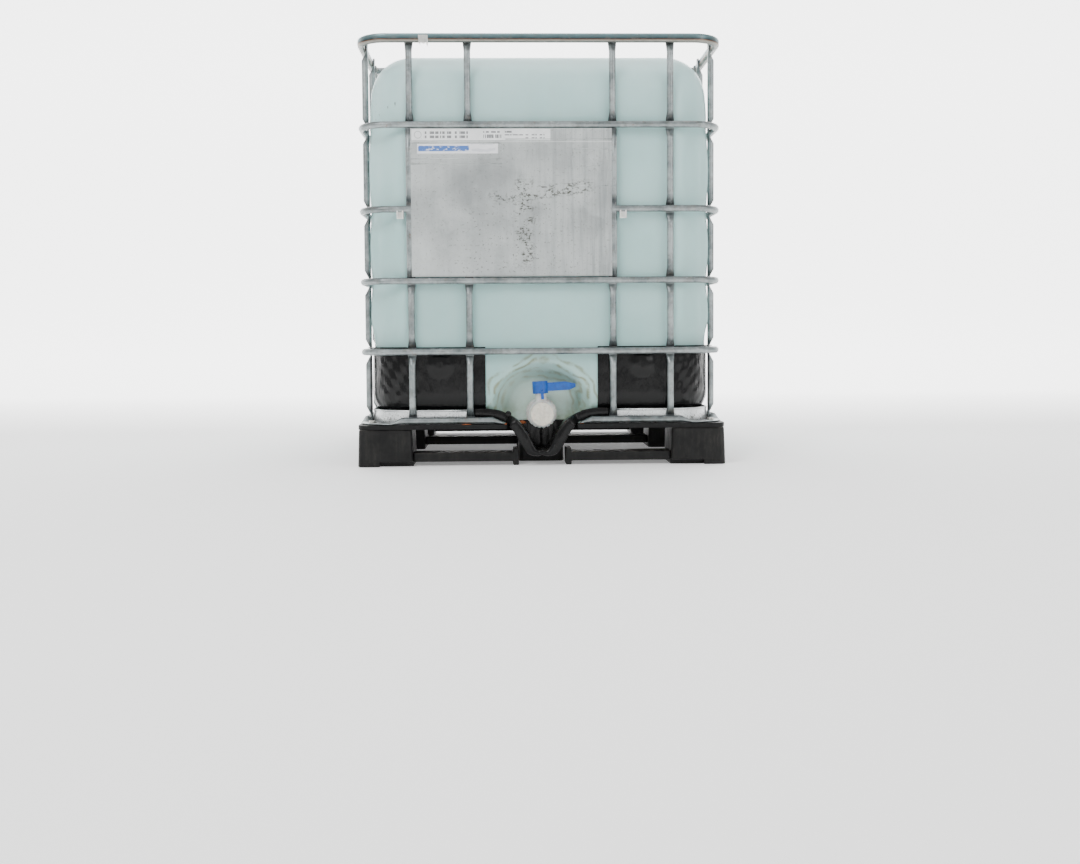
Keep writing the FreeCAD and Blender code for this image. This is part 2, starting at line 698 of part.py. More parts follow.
def make_guard():
    """The front left guard: a cup round the bottle's corner, with a boss and a lip over the rail."""
    corner = "bottle_corner + guard_x - bottle_x"
    cup = rounded_block("guard_outside", "guard_x", "guard_y", "guard_bottom", "guard_top", corner,
                        bottom="bottle_heel + guard_wall")
    hollow = rounded_block("guard_inside", "guard_x - guard_wall", "guard_y - guard_wall", "bottle_bottom",
                           "guard_top + guard_wall", f"{corner} - guard_wall", bottom="bottle_heel")
    far = "overall_width + overall_depth"
    shell = common("guard_shell", cut("guard_cup", cup, hollow),
                   block("guard_zone", (minus(far), "-guard_reach_x"), (minus(far), "-guard_reach_y"),
                         ("0", "guard_top")))
    relief = block("guard_relief", ("-collar_reach - trough_gap", "0"), (minus(far), "guard_relief_depth - guard_y"),
                   ("0", "guard_relief_height"))
    boss = taper("guard_boss", "guard_boss_radius", "guard_boss_top", "guard_boss_rise",
                 ("-guard_boss_place", "-guard_y", "guard_boss_height"), "-y")
    brim = rounded_block("guard_brim", "guard_x + guard_lip_reach", "guard_y + guard_lip_reach",
                         "guard_top - guard_lip_thickness", "guard_top",
                         "rail_corner + guard_x + guard_lip_reach - rail_x")
    core = rounded_block("guard_core", "guard_x - guard_wall / 2", "guard_y - guard_wall / 2",
                         "guard_top - 2 * guard_lip_thickness", "guard_top + guard_lip_thickness",
                         f"{corner} - guard_wall / 2")
    lip = common("guard_lip", cut("guard_brim_ring", brim, core),
                 block("guard_lip_zone", (minus(far), "-guard_lip_start_x"),
                       (minus(far), "-guard_lip_start_y"), ("0", "guard_top")))
    return fuse("guard_body", cut("guard_trimmed", shell, relief), boss, lip)


def make_guards():
    front_left = keep("guard_front_left", make_guard())
    front_right = keep("guard_front_right", mirrored("guard_front_right", front_left, (1, 0, 0)))
    keep("guard_rear_left", mirrored("guard_rear_left", front_left, (0, 1, 0)))
    keep("guard_rear_right", mirrored("guard_rear_right", front_right, (0, 1, 0)))


def make_bottle():
    """A blow-moulded bottle of even wall, with a dished recess for the valve and a screw neck welded on."""
    skin = rounded_block("bottle_skin", "bottle_x", "bottle_y", "bottle_bottom", "bottle_top",
                         "bottle_corner", "bottle_shoulder", "bottle_heel")
    inner = rounded_block("bottle_room", "bottle_x - bottle_wall", "bottle_y - bottle_wall",
                          "bottle_bottom + bottle_wall", "bottle_top - bottle_wall",
                          "bottle_corner - bottle_wall", "bottle_shoulder - bottle_wall",
                          "bottle_heel - bottle_wall")
    run_on = "bottle_wall * 2"
    flare = "(recess_mouth - recess_floor) / recess_depth"
    dish = taper("recess_dish", "recess_floor", f"recess_mouth + ({flare}) * ({run_on})",
                 f"recess_depth + {run_on}", ("0", "-recess_back", "valve_height"), "-y")
    dish_back = taper("recess_dish_back", "recess_floor + bottle_wall",
                      f"recess_mouth + bottle_wall + ({flare}) * ({run_on})",
                      f"recess_depth + bottle_wall + {run_on}",
                      ("0", "bottle_wall - recess_back", "valve_height"), "-y")
    outlet = rod("outlet_neck", "outlet_neck_radius", "outlet_neck_length + bottle_wall",
                 ("0", "bottle_wall - recess_back", "valve_height"), "-y")
    mass = fuse("bottle_mass", cut("bottle_dished", skin, dish), outlet)
    room = cut("bottle_inside", inner, dish_back)
    throat = rod("fill_throat", "neck_bore", "neck_rise + 3 * bottle_wall",
                 ("0", "0", "bottle_top - 2 * bottle_wall"))
    neck = rod("neck_blank", "neck_bore + neck_wall", "neck_rise", ("0", "0", "bottle_top"))
    keep("neck_ring", cut("neck_ring", neck, throat))
    drain = rod("outlet_throat", "outlet_bore", "outlet_neck_length + 3 * bottle_wall",
                ("0", "2 * bottle_wall - recess_back", "valve_height"), "-y")
    return keep("bottle", cut("bottle", mass, room, throat, drain))


# ---- cage ----

def rail_path(sketch, start, end):
    """The centre line of a hoop: from one place on the front, round the cage, to another."""
    x, y, r = (value(word) for word in ("rail_x", "rail_y", "rail_corner"))
    lines = (
        (start, "-rail_y", "rail_x - rail_corner", "-rail_y"),
        ("rail_x", "rail_corner - rail_y", "rail_x", "rail_y - rail_corner"),
        ("rail_x - rail_corner", "rail_y", "rail_corner - rail_x", "rail_y"),
        ("-rail_x", "rail_y - rail_corner", "-rail_x", "rail_corner - rail_y"),
        ("rail_corner - rail_x", "-rail_y", end, "-rail_y"),
    )
    centres = ((x - r, r - y), (x - r, y - r), (r - x, y - r), (r - x, r - y))
    runs = []
    for x1, y1, x2, y2 in lines:
        edge = Part.LineSegment(Vector(value(x1), value(y1), 0), Vector(value(x2), value(y2), 0))
        item = sketch.addGeometry(edge, False)
        hold(sketch, "DistanceX", item, 1, x1)
        hold(sketch, "DistanceY", item, 1, y1)
        hold(sketch, "DistanceX", item, 2, x2)
        hold(sketch, "DistanceY", item, 2, y2)
        runs.append(item)
    for number, (centre_x, centre_y) in enumerate(centres):
        turn = Part.Circle(Vector(centre_x, centre_y, 0), Vector(0, 0, 1), r)
        first = math.radians(90 * number - 90)
        item = sketch.addGeometry(Part.ArcOfCircle(turn, first, first + math.pi / 2), False)
        sketch.addConstraint(Sketcher.Constraint("Coincident", item, 1, runs[number], 2))
        sketch.addConstraint(Sketcher.Constraint("Coincident", item, 2, runs[number + 1], 1))
        sign = "1" if centre_x > 0 else "-1"
        hold(sketch, "DistanceX", item, 3, f"{sign} * (rail_x - rail_corner)")


def rounded_section(sketch, middle_y, middle_z, half_y, half_z, radius):
    """A rectangle with round corners, drawn as four lines and four arcs."""
    corners = ((1, -1, -90), (1, 1, 0), (-1, 1, 90), (-1, -1, 180))
    r = value(radius)
    arcs = []
    for side, level, first in corners:
        centre = Vector(value(f"{middle_y} + {side} * ({half_y} - {radius})"),
                        value(f"{middle_z} + {level} * ({half_z} - {radius})"), 0)
        turn = Part.Circle(centre, Vector(0, 0, 1), r)
        start = math.radians(first)
        item = sketch.addGeometry(Part.ArcOfCircle(turn, start, start + math.pi / 2), False)
        hold(sketch, "DistanceX", item, 3, f"{middle_y} + {side} * ({half_y} - {radius})")
        hold(sketch, "DistanceY", item, 3, f"{middle_z} + {level} * ({half_z} - {radius})")
        index = sketch.addConstraint(Sketcher.Constraint("Radius", item, r))
        bind(sketch, f"Constraints[{index}]", radius)
        arcs.append(item)
    for number in range(4):
        this, following = arcs[number], arcs[(number + 1) % 4]
        line = Part.LineSegment(sketch.getPoint(this, 2), sketch.getPoint(following, 1))
        item = sketch.addGeometry(line, False)
        sketch.addConstraint(Sketcher.Constraint("Tangent", this, 2, item, 1))
        sketch.addConstraint(Sketcher.Constraint("Tangent", item, 2, following, 1))


def sweep_rail(name, level, start, end, draw_section):
    body = new_body(name)
    path = new_sketch(body, name + "_path", "XY_Plane", level)
    rail_path(path, start, end)
    section = new_sketch(body, name + "_section", "YZ_Plane", start)
    draw_section(section)
    doc.recompute()
    pipe = body.newObject("PartDesign::AdditivePipe", name + "_tube")
    pipe.Profile = section
    pipe.Spine = (path, [f"Edge{number}" for number in range(1, len(path.Shape.Edges) + 1)])
    body.Tip = pipe
    doc.recompute()
    return body


def hollow_rail(name, level, start, end, draw_outside, draw_inside):
    """A swept rail with its inside, swept along the same path, cut out of it."""
    return cut(name, sweep_rail(name + "_outside", level, start, end, draw_outside),
               sweep_rail(name + "_inside", level, start, end, draw_inside))


def make_hoops():
    # The middle hoop is open where the label plate is and ends on the uprights beside it.
    ends = {"upper": ("0", "0"), "middle": ("front_inner", "-front_outer"), "lower": ("0", "0"),
            "guard": ("0", "0")}
    for word, (start, end) in ends.items():
        level = "rail_" + word
        keep("hoop_" + word, hollow_rail(
            "hoop_" + word, level, start, end,
            lambda sketch: circle(sketch, "-rail_y", level, "tube_radius"),
            lambda sketch: circle(sketch, "-rail_y", level, "tube_radius - tube_wall")))


def make_ring():
    """The top rail, a taller section than the hoops, with holes for the cross bars' screws."""
    ring = hollow_rail(
        "ring_body", "ring_middle", "0", "0",
        lambda sketch: rounded_section(sketch, "-rail_y", "ring_middle", "tube_radius",
                                       "ring_height / 2", "ring_edge"),
        lambda sketch: rounded_section(sketch, "-rail_y", "ring_middle", "tube_radius - tube_wall",
                                       "ring_height / 2 - tube_wall", "ring_edge - tube_wall"))
    holes = []
    for side in (-1, 1):
        for place in cross_bar_screw_places():
            start = "rail_x - 2 * tube_radius" if side > 0 else "-rail_x"
            holes.append(rod(f"ring_screw_hole_{len(holes)}", "screw_radius + bolt_gap", "2 * tube_radius",
                             (start, place, "overall_height - cross_bar_drop"), "x"))
    return keep("ring_top", cut("ring_top", ring, *holes))


def cross_bar_screw_places():
    return [f"{end} * cross_bar_place + {step} * end_screw_place" for end in (-1, 1) for step in (-1, 1)]


def station(distance, across, thick, shift):
    """One section of a pressed tube: an ellipse square to the tube's axis, which is local Z."""
    if abs(across - thick) < 1e-9:
        curve = Part.Circle(Vector(0, shift, distance), Vector(0, 0, 1), across)
    else:
        curve = Part.Ellipse(Vector(across, shift, distance), Vector(0, shift + thick, distance),
                             Vector(0, shift, distance))
    return Part.Wire(curve.toShape())


def pressed_tube(stations, round_runs):
    """A tube lofted through its sections and hollow along its round stretches."""
    wall, r = value("tube_wall"), value("tube_radius")
    tube = Part.makeLoft([station(*each) for each in stations], True, True)
    bores = [Part.makeCylinder(r - wall, high - low, Vector(0, 0, low)) for low, high in round_runs]
    return tube.cut(bores)


def upright_shape(levels):
    """An upright pressed flat on its outer side behind each rail; its inner side stays straight."""
    r = value("tube_radius")
    across = value("pinch_half_width")
    thick = value("upright_pinch") / 2
    half, run = value("pinch_half_length"), value("pinch_run")
    pressed = (across, thick, r - thick)
    stations, round_runs = [], []
    last = len(levels) - 1
    for number, level in enumerate(levels):
        if number > 0:
            stations.append((level - run, r, r, 0))
            round_runs.append((levels[number - 1] + run, level - run))
        stations.append((level - half, *pressed))
        stations.append((level + half, *pressed))
        if number < last:
            stations.append((level + run, r, r, 0))
    return pressed_tube(stations, round_runs)


def make_uprights():
    words = ("rail_base", "rail_guard", "rail_lower", "rail_middle", "rail_upper", "ring_middle")
    every = upright_shape([value(word) for word in words])
    unpressed = upright_shape([value(word) for word in words if word != "rail_middle"])
    x, y = value("upright_x"), value("upright_y")
    outer, inner = value("front_outer"), value("front_inner")
    spacing = value("side_spacing")
    front = (("outer_left", -outer, every), ("inner_left", -inner, unpressed),
             ("inner_right", inner, every), ("outer_right", outer, every))
    for word, place, shape in front:
        keep_shape("upright_front_" + word, shape, Placement(Vector(place, -y, 0), Rotation()))
    back = Rotation(Vector(0, 0, 1), 180)
    rear = (("outer_left", -outer), ("inner_left", -inner), ("middle", 0),
            ("inner_right", inner), ("outer_right", outer))
    for word, place in rear:
        keep_shape("upright_rear_" + word, every, Placement(Vector(place, y, 0), back))
    for side in (-1, 1):
        turn = Rotation(Vector(0, 0, 1), 90 * side)
        row = []
        for step in (-2.5, -1.5, -0.5, 0.5, 1.5, 2.5):
            upright = every.copy()
            upright.Placement = Placement(Vector(side * x, step * spacing, 0), turn)
            row.append(upright)
        keep_shape(f"uprights_{SIDE_WORD[side]}", Part.makeCompound(row))


def make_base_rail():
    """The lowest rail: open at the valve, its ends and corners pressed flat, bolted at the corners."""
    x, y, corner = value("rail_x"), value("rail_y"), value("rail_corner")
    r, run, gap = value("tube_radius"), value("flat_end_length"), value("base_rail_gap")
    half_lug, half_thick = value("lug_width") / 2, value("lug_thickness") / 2
    deck, height = value("deck_top"), value("rail_base")
    flat = (half_lug, half_thick, height - deck - half_thick)

    def length_of_rail(start, end):
        """A straight stretch, pressed flat at both ends; local +Y points down."""
        span = (end - start).Length
        stations = [(0, *flat), (run, r, r, 0), (span - run, r, r, 0), (span, *flat)]
        tube = pressed_tube(stations, [(run, span - run)])
        along = (end - start).normalize()
        down = Vector(0, 0, -1)
        tube.Placement = Placement(start, Rotation(down.cross(along), down, along))
        return tube

    def flat_corner(side, end):
        middle = Vector(side * (x - corner), end * (y - corner), height)
        lug = Part.Face(Part.Wire(Part.Ellipse(
            middle + Vector(corner + half_lug, 0, -flat[2]), middle + Vector(corner, 0, half_thick - flat[2]),
            middle + Vector(corner, 0, -flat[2])).toShape()))
        arc = lug.revolve(middle, Vector(0, 0, 1), 90)
        start = {(1, 1): 0, (-1, 1): 90, (-1, -1): 180, (1, -1): 270}[side, end]
        arc.rotate(middle, Vector(0, 0, 1), start)
        return arc

    rails = [
        length_of_rail(Vector(gap, -y, height), Vector(x - corner, -y, height)),
        length_of_rail(Vector(x, corner - y, height), Vector(x, y - corner, height)),
        length_of_rail(Vector(x - corner, y, height), Vector(corner - x, y, height)),
        length_of_rail(Vector(-x, y - corner, height), Vector(-x, corner - y, height)),
        length_of_rail(Vector(corner - x, -y, height), Vector(-gap, -y, height)),
    ]
    lugs = [flat_corner(side, end) for side, end in CORNERS]
    rail = rails[0].multiFuse(rails[1:] + lugs)
    hole = value("bolt_radius + bolt_gap")
    bores = [Part.makeCylinder(hole, 2 * r, Vector(side * value("bolt_x"), end * value("bolt_y"), deck - r / 2))
             for side, end in CORNERS]
    return keep_shape("rail_base", rail.cut(bores))


def make_cross_bars():
    height = "overall_height - cross_bar_drop"
    inner = "rail_x - tube_radius"
    bars = []
    for end in (-1, 1):
        word = END_WORD[end]
        place = f"{end} * cross_bar_place"
        run = f"2 * ({inner} - end_plate_thickness)"
        start = (f"end_plate_thickness - ({inner})", place, height)
        tube = cut(f"cross_tube_{word}", rod(f"cross_outside_{word}", "tube_radius", run, start, "x"),
                   rod(f"cross_inside_{word}", "tube_radius - tube_wall", run, start, "x"))
        plates = []
        for side in (-1, 1):
            near = f"{inner} - end_plate_thickness" if side > 0 else f"-({inner})"
            plates.append(block(f"cross_plate_{word}_{SIDE_WORD[side]}", (near, f"{near} + end_plate_thickness"),
                                (f"{place} - end_plate_half", f"{place} + end_plate_half"),
                                (f"{height} - end_plate_height / 2", f"{height} + end_plate_height / 2")))
        holes = []
        for step in (-1, 1):
            hole_y = f"{place} + {step} * end_screw_place"
            holes.append(rod(f"cross_hole_{word}_{step + 1}", "screw_radius + bolt_gap", "2 * rail_x",
                             ("-rail_x", hole_y, height), "x"))
        bars.append(cut(f"cross_bar_{word}", fuse(f"cross_{word}", tube, *plates), *holes))
    keep("cross_bars", group("cross_bars", *bars))


def make_fasteners():
    bolts = []
    for side, end in CORNERS:
        head = doc.addObject("Part::Prism", f"cage_bolt_head_{len(bolts)}")
        head.Polygon = 6
        bind(head, "Circumradius", "bolt_head_radius")
        bind(head, "Height", "bolt_head_height")
        top = "deck_top + lug_thickness"
        spot = (f"{side} * bolt_x", f"{end} * bolt_y")
        put(head, (*spot, top))
        shank = rod(f"cage_bolt_shank_{len(bolts)}", "bolt_radius", "lug_thickness + deck_thickness",
                    (*spot, f"{top} - lug_thickness - deck_thickness"))
        bolts.append(fuse(f"cage_bolt_{len(bolts)}", head, shank))
    keep("cage_bolts", group("cage_bolts", *bolts))
    screws = []
    height = "overall_height - cross_bar_drop"
    inner = "rail_x - tube_radius - end_plate_thickness"
    for side in (-1, 1):
        for place in cross_bar_screw_places():
            number = len(screws)
            start = f"{inner} - screw_head_height" if side > 0 else f"-({inner})"
            head = rod(f"screw_head_{number}", "screw_head_radius", "screw_head_height",
                       (start, place, height), "x")
            run = "end_plate_thickness + tube_radius"
            start = inner if side > 0 else f"-({inner}) - ({run})"
            shank = rod(f"screw_shank_{number}", "screw_radius", run, (start, place, height), "x")
            screws.append(fuse(f"cross_bar_screw_{number}", head, shank))
    keep("cross_bar_screws", group("cross_bar_screws", *screws))
    clips = []
    for word, place in (("left", "-front_outer - clip_place"), ("right", "front_inner + clip_place")):
        across = (f"{place} - clip_width / 2", f"{place} + clip_width / 2")
        low = "rail_middle - tube_radius - clip_drop"
        solid = block(f"clip_solid_{word}", across, ("-rail_y - tube_radius", "-rail_y"),
                      (low, "rail_middle - tube_radius / 2"))
        slot = block(f"clip_slot_{word}", (f"{place} - clip_width / 2 + clip_wall",
                                           f"{place} + clip_width / 2 - clip_wall"),
                     ("-rail_y - 2 * tube_radius", "-rail_y - clip_wall"),
                     (f"{low} + clip_wall", "rail_middle"))
        seat = rod(f"clip_seat_{word}", "tube_radius", "2 * clip_width",
                   (f"{place} - clip_width", "-rail_y", "rail_middle"), "x")
        clips.append(cut(f"rail_clip_{word}", solid, slot, seat))
    keep("rail_clips", group("rail_clips", *clips))


# ---- label plate ----

def make_plate():
    """A sheet in front of the uprights, between two rails, with a flange down each side."""
    body = new_body("label_plate")
    face = new_sketch(body, "plate_face", "XZ_Plane", "plate_back")
    notch_low, notch_high = "rail_middle - plate_notch", "rail_middle + plate_notch"
    left_in, right_in = "tube_radius / 4 - front_outer", "front_inner - tube_radius / 4"
    outline(face, [
        ("plate_left", "plate_bottom"), ("plate_right", "plate_bottom"), ("plate_right", notch_low),
        (right_in, notch_low), (right_in, notch_high), ("plate_right", notch_high),
        ("plate_right", "plate_top"), ("plate_left", "plate_top"), ("plate_left", notch_high),
        (left_in, notch_high), (left_in, notch_low), ("plate_left", notch_low),
    ])
    pad(body, face, "plate_thickness", "plate_sheet")
    flanges = new_sketch(body, "plate_flanges", "XZ_Plane", "plate_back - plate_flange")
    for near, far in (("plate_left - plate_thickness", "plate_left"),
                      ("plate_right", "plate_right + plate_thickness")):
        for below, above in (("rail_lower", "rail_middle"), ("rail_middle", "rail_upper")):
            rectangle(flanges, (near, far), (f"{below} + pinch_run", f"{above} - pinch_run"))
    pad(body, flanges, "plate_flange + plate_thickness", "plate_sides")
    relief = new_sketch(body, "plate_emboss", "XZ_Plane", "plate_back + plate_thickness")
    for left, right, low, high in emboss_bars():
        rectangle(relief, (left, right), (low, high))
    pad(body, relief, "emboss_rise", "plate_lines")
    return keep("label_plate", body)


def emboss_bars():
    """Raised lines: two rules under the labels and a square frame with bars at the right."""
    bars = []
    for step in (0, 1):
        low = f"plate_top - emboss_rule_drop - {step} * emboss_rule_gap"
        bars.append(("plate_left + label_margin", "plate_left + label_margin + emboss_rule_length",
                     low, f"{low} + emboss_line"))
    right, top = "plate_right - emboss_square_margin", "plate_top - emboss_square_drop"
    left, low = f"{right} - emboss_square", f"{top} - emboss_square"
    line = "emboss_line"
    bars.append((left, right, f"{top} - {line}", top))
    bars.append((left, right, low, f"{low} + {line}"))
    bars.append((left, f"{left} + {line}", f"{low} + {line}", f"{top} - {line}"))
    bars.append((f"{right} - {line}", right, f"{low} + {line}", f"{top} - {line}"))
    for step in (1, 2):
        level = f"{low} + {step} * emboss_square / 3"
        bars.append((f"{left} + emboss_square / 4", f"{right} - emboss_square / 4", level, f"{level} + {line}"))
    return bars


def make_labels():
    front = ("-plate_back - plate_thickness - label_thickness", "-plate_back - plate_thickness")
    left = "plate_left + label_margin"
    top = "plate_top - label_drop"
    keep("document_label", block("document_label", (left, f"{left} + document_label_length"), front,
                                 (f"{top} - document_label_height", top)))
    top = f"{top} - document_label_height - label_spacing"
    left = "plate_left + 2 * label_margin"
    keep("grade_label", block("grade_label", (left, f"{left} + grade_label_length"), front,
                              (f"{top} - grade_label_height", top)))


# ---- valve ----

def tilted(thing):
    """Turn a valve piece, drawn with the flow axis at height zero, and lift it to its place."""
    thing.Placement = Placement(Vector(), Rotation(Vector(0, 1, 0), -value("valve_tilt")))
    bind(thing, "Placement.Base.z", "valve_height")
    return thing


def lifted(thing):
    bind(thing, "Placement.Base.z", "valve_height")
    return thing


def turned(name, profile):
    """A body turned about the Y axis. The profile is (radius, distance towards the front)."""
    body = new_body(name)
    sketch = new_sketch(body, name + "_profile", "XY_Plane")
    outline(sketch, [(radius, minus(distance)) for radius, distance in profile])
    revolve(body, sketch, "Y_Axis", name + "_turning")
    return body


def make_valve_body():
    shell = fuse(
        "valve_shell",
        rod("valve_flange", "flange_radius", "flange_thickness", ("0", "-flange_start", "0"), "-y"),
        rod("valve_waist", "waist_radius", "waist_length", ("0", "-waist_start", "0"), "-y"),
        rod("valve_barrel", "barrel_radius", "barrel_length", ("0", "-barrel_start", "0"), "-y"),
        rod("valve_spout", "spout_radius", "spout_length", ("0", "-spout_start", "0"), "-y"),
        rod("valve_tower", "tower_radius", "tower_top", ("0", "-stem_y", "0")),
    )
    seat = "outlet_bore + liner_thickness"
    top = "tower_top"
    body = cut(
        "valve_body", shell,
        rod("valve_bore", "outlet_bore", "spout_end - flange_start", ("0", "-flange_start", "0"), "-y"),
        rod("valve_seat", seat, "2 * liner_half", ("0", "liner_half - stem_y", "0"), "-y"),
        rod("valve_stem_bore", "stem_radius + stem_fit", f"{top} + stem_foot + stem_fit",
            ("0", "-stem_y", "-stem_foot - stem_fit")),
        rod("valve_seal_groove", "stem_radius + stem_fit + seal_ring", "seal_ring",
            ("0", "-stem_y", f"{top} - 2 * seal_ring")),
    )
    return keep("valve_body", tilted(body))


def make_valve_inside():
    seat = "outlet_bore + liner_thickness"
    liner = cut(
        "seat_liner",
        rod("liner_outside", seat, "2 * liner_half", ("0", "liner_half - stem_y", "0"), "-y"),
        rod("liner_inside", "outlet_bore", "2 * liner_half", ("0", "liner_half - stem_y", "0"), "-y"),
        rod("liner_stem_hole", "stem_radius + stem_fit", f"2 * ({seat})", ("0", "-stem_y", minus(seat))),
    )
    keep("seat_liner", tilted(liner))
    sphere = doc.addObject("Part::Sphere", "flap_sweep")
    bind(sphere, "Radius", "outlet_bore - flap_gap")
    put(sphere, ("0", "-stem_y", "0"))
    flap = fuse(
        "flap_blank",
        rod("flap_disc", "outlet_bore", "flap_thickness", ("0", "flap_thickness / 2 - stem_y", "0"), "-y"),
        rod("flap_hub", "flap_hub_radius", "2 * outlet_bore", ("0", "-stem_y", "-outlet_bore")),
    )
    bore = rod("flap_bore", "stem_radius", "3 * outlet_bore", ("0", "-stem_y", "-1.5 * outlet_bore"))
    keep("valve_flap", tilted(cut("valve_flap", common("flap_trimmed", flap, sphere), bore)))
    stem = rod("stem_blank", "stem_radius", "stem_foot + hub_top - screw_head_height - 2 * seal_ring",
               ("0", "-stem_y", "-stem_foot"))
    tapped = rod("stem_tapping", "screw_radius", "hub_top", ("0", "-stem_y", "hub_bottom + 4 * seal_ring"))
    keep("valve_stem", tilted(cut("valve_stem", stem, tapped)))
    ring = cut("stem_seal", rod("seal_outside", "stem_radius + stem_fit + seal_ring", "seal_ring",
                                ("0", "-stem_y", "tower_top - 2 * seal_ring")),
               rod("seal_inside", "stem_radius + stem_fit", "seal_ring",
                   ("0", "-stem_y", "tower_top - 2 * seal_ring")))
    keep("stem_seal", tilted(ring))


def make_handle():
    """Hub, tapering lever and stop peg in one moulding, held on the stem by a screw."""
    body = new_body("valve_handle")
    side = new_sketch(body, "lever_side", "XZ_Plane", "stem_y - lever_width / 2")
    middle = "(lever_low + lever_high) / 2"
    outline(side, [
        ("0", "lever_low"), ("lever_length - 2 * lever_tip", "lever_low"),
        ("lever_length", f"{middle} - lever_tip / 2"), ("lever_length", f"{middle} + lever_tip / 2"),
        ("lever_length - 3 * lever_tip", "lever_high"), ("0", "lever_high"),
    ])
    lever = pad(body, side, "lever_width", "lever")
    tip = value("lever_length")
    round_edges(body, lever, "lever_tip / 4", lambda edge: edge.BoundBox.XMin > tip / 2, "lever_rounding")
    hub = new_sketch(body, "hub_plan", "XY_Plane", "hub_bottom")
    circle(hub, "0", "-stem_y", "hub_radius")
    pad(body, hub, "hub_top - hub_bottom", "hub")
    peg = new_sketch(body, "peg_plan", "XY_Plane", "peg_bottom")
    rectangle(peg, ("0", "peg_width"), ("-stem_y - peg_radius - peg_width / 2", "-stem_y - peg_radius"))
    pad(body, peg, "hub_bottom - peg_bottom + seal_ring", "peg")
    socket = new_sketch(body, "hub_socket_plan", "XY_Plane", "hub_top - screw_head_height - 2 * seal_ring")
    circle(socket, "0", "-stem_y", "stem_radius")
    pocket(body, socket, "hub_top - hub_bottom", "hub_socket")
    well = new_sketch(body, "hub_well_plan", "XY_Plane", "hub_top")
    circle(well, "0", "-stem_y", "screw_head_radius + bolt_gap")
    pocket(body, well, "screw_head_height + seal_ring", "hub_well")
    through = new_sketch(body, "hub_hole_plan", "XY_Plane", "hub_top")
    circle(through, "0", "-stem_y", "screw_radius + bolt_gap")
    pocket(body, through, "hub_top - hub_bottom", "hub_hole")
    keep("valve_handle", tilted(body))
    seat = "hub_top - screw_head_height - seal_ring"
    screw = fuse("handle_screw",
                 rod("handle_screw_head", "screw_head_radius", "screw_head_height", ("0", "-stem_y", seat)),
                 rod("handle_screw_shank", "screw_radius", f"{seat} - hub_bottom - 4 * seal_ring",
                     ("0", "-stem_y", "hub_bottom + 4 * seal_ring")))
    keep("handle_screw", tilted(screw))


def make_outlet():
    gasket = turned("neck_gasket", (
        ("outlet_bore", "outlet_neck_end"), ("outlet_neck_radius", "outlet_neck_end"),
        ("outlet_neck_radius", "flange_start"), ("outlet_bore", "flange_start")))
    keep("neck_gasket", lifted(gasket))
    nut = turned("union_nut", (
        ("outlet_neck_radius + nut_gap", "outlet_neck_end - nut_overlap"),
        ("nut_radius", "outlet_neck_end - nut_overlap"), ("nut_radius", "waist_start + nut_gap + nut_lip"),
        ("waist_radius + nut_gap", "waist_start + nut_gap + nut_lip"),
        ("waist_radius + nut_gap", "waist_start + nut_gap"), ("flange_radius + nut_gap", "waist_start + nut_gap"),
        ("flange_radius + nut_gap", "flange_start"), ("outlet_neck_radius + nut_gap", "flange_start")))
    grip = new_sketch(nut, "nut_grip_plan", "XZ_Plane", "waist_start + nut_gap + nut_lip")
    rectangle(grip, ("-nut_grip / 2", "nut_grip / 2"), ("nut_radius - nut_grip / 2", "nut_radius + nut_grip"))
    groove = pocket(nut, grip, "nut_overlap + flange_thickness", "nut_grip")
    repeat_round(nut, groove, "Y_Axis", 20, "nut_grips")
    keep("union_nut", lifted(nut))
    cap = turned("outlet_cap", (
        ("0", "cap_under"), ("cap_inner", "cap_under"), ("cap_inner", "spout_end - cap_skirt"),
        ("cap_inner + cap_wall", "spout_end - cap_skirt"), ("cap_inner + cap_wall", "cap_under + cap_plate"),
        ("0", "cap_under + cap_plate")))
    rib = new_sketch(cap, "cap_rib_plan", "XZ_Plane", "spout_end - cap_skirt + cap_wall")
    rectangle(rib, ("-cap_grip_rise", "cap_grip_rise"),
              ("cap_inner + cap_wall / 2", "cap_inner + cap_wall + cap_grip_rise"))
    ridge = pad(cap, rib, "cap_skirt", "cap_rib")
    repeat_round(cap, ridge, "Y_Axis", 16, "cap_ribs")
    well = new_sketch(cap, "cap_well_plan", "XZ_Plane", "cap_under + cap_plate")
    circle(well, "0", "0", "cap_inner - cap_wall")
    pocket(cap, well, "cap_plate / 2", "cap_well")
    bar = new_sketch(cap, "cap_bar_plan", "XZ_Plane", "cap_under + cap_plate / 2")
    rectangle(bar, ("-cap_bar_half", "cap_bar_half"), ("-cap_inner + cap_wall", "cap_inner - cap_wall"))
    pad(cap, bar, "cap_plate / 2", "cap_bar")
    keep("outlet_cap", lifted(cap))
    inside = turned("cap_gasket", (
        ("outlet_bore", "spout_end + seal_gap"), ("cap_inner - seal_gap", "spout_end + seal_gap"),
        ("cap_inner - seal_gap", "cap_under"), ("outlet_bore", "cap_under")))
    keep("cap_gasket", lifted(inside))


# ---- fill lid ----

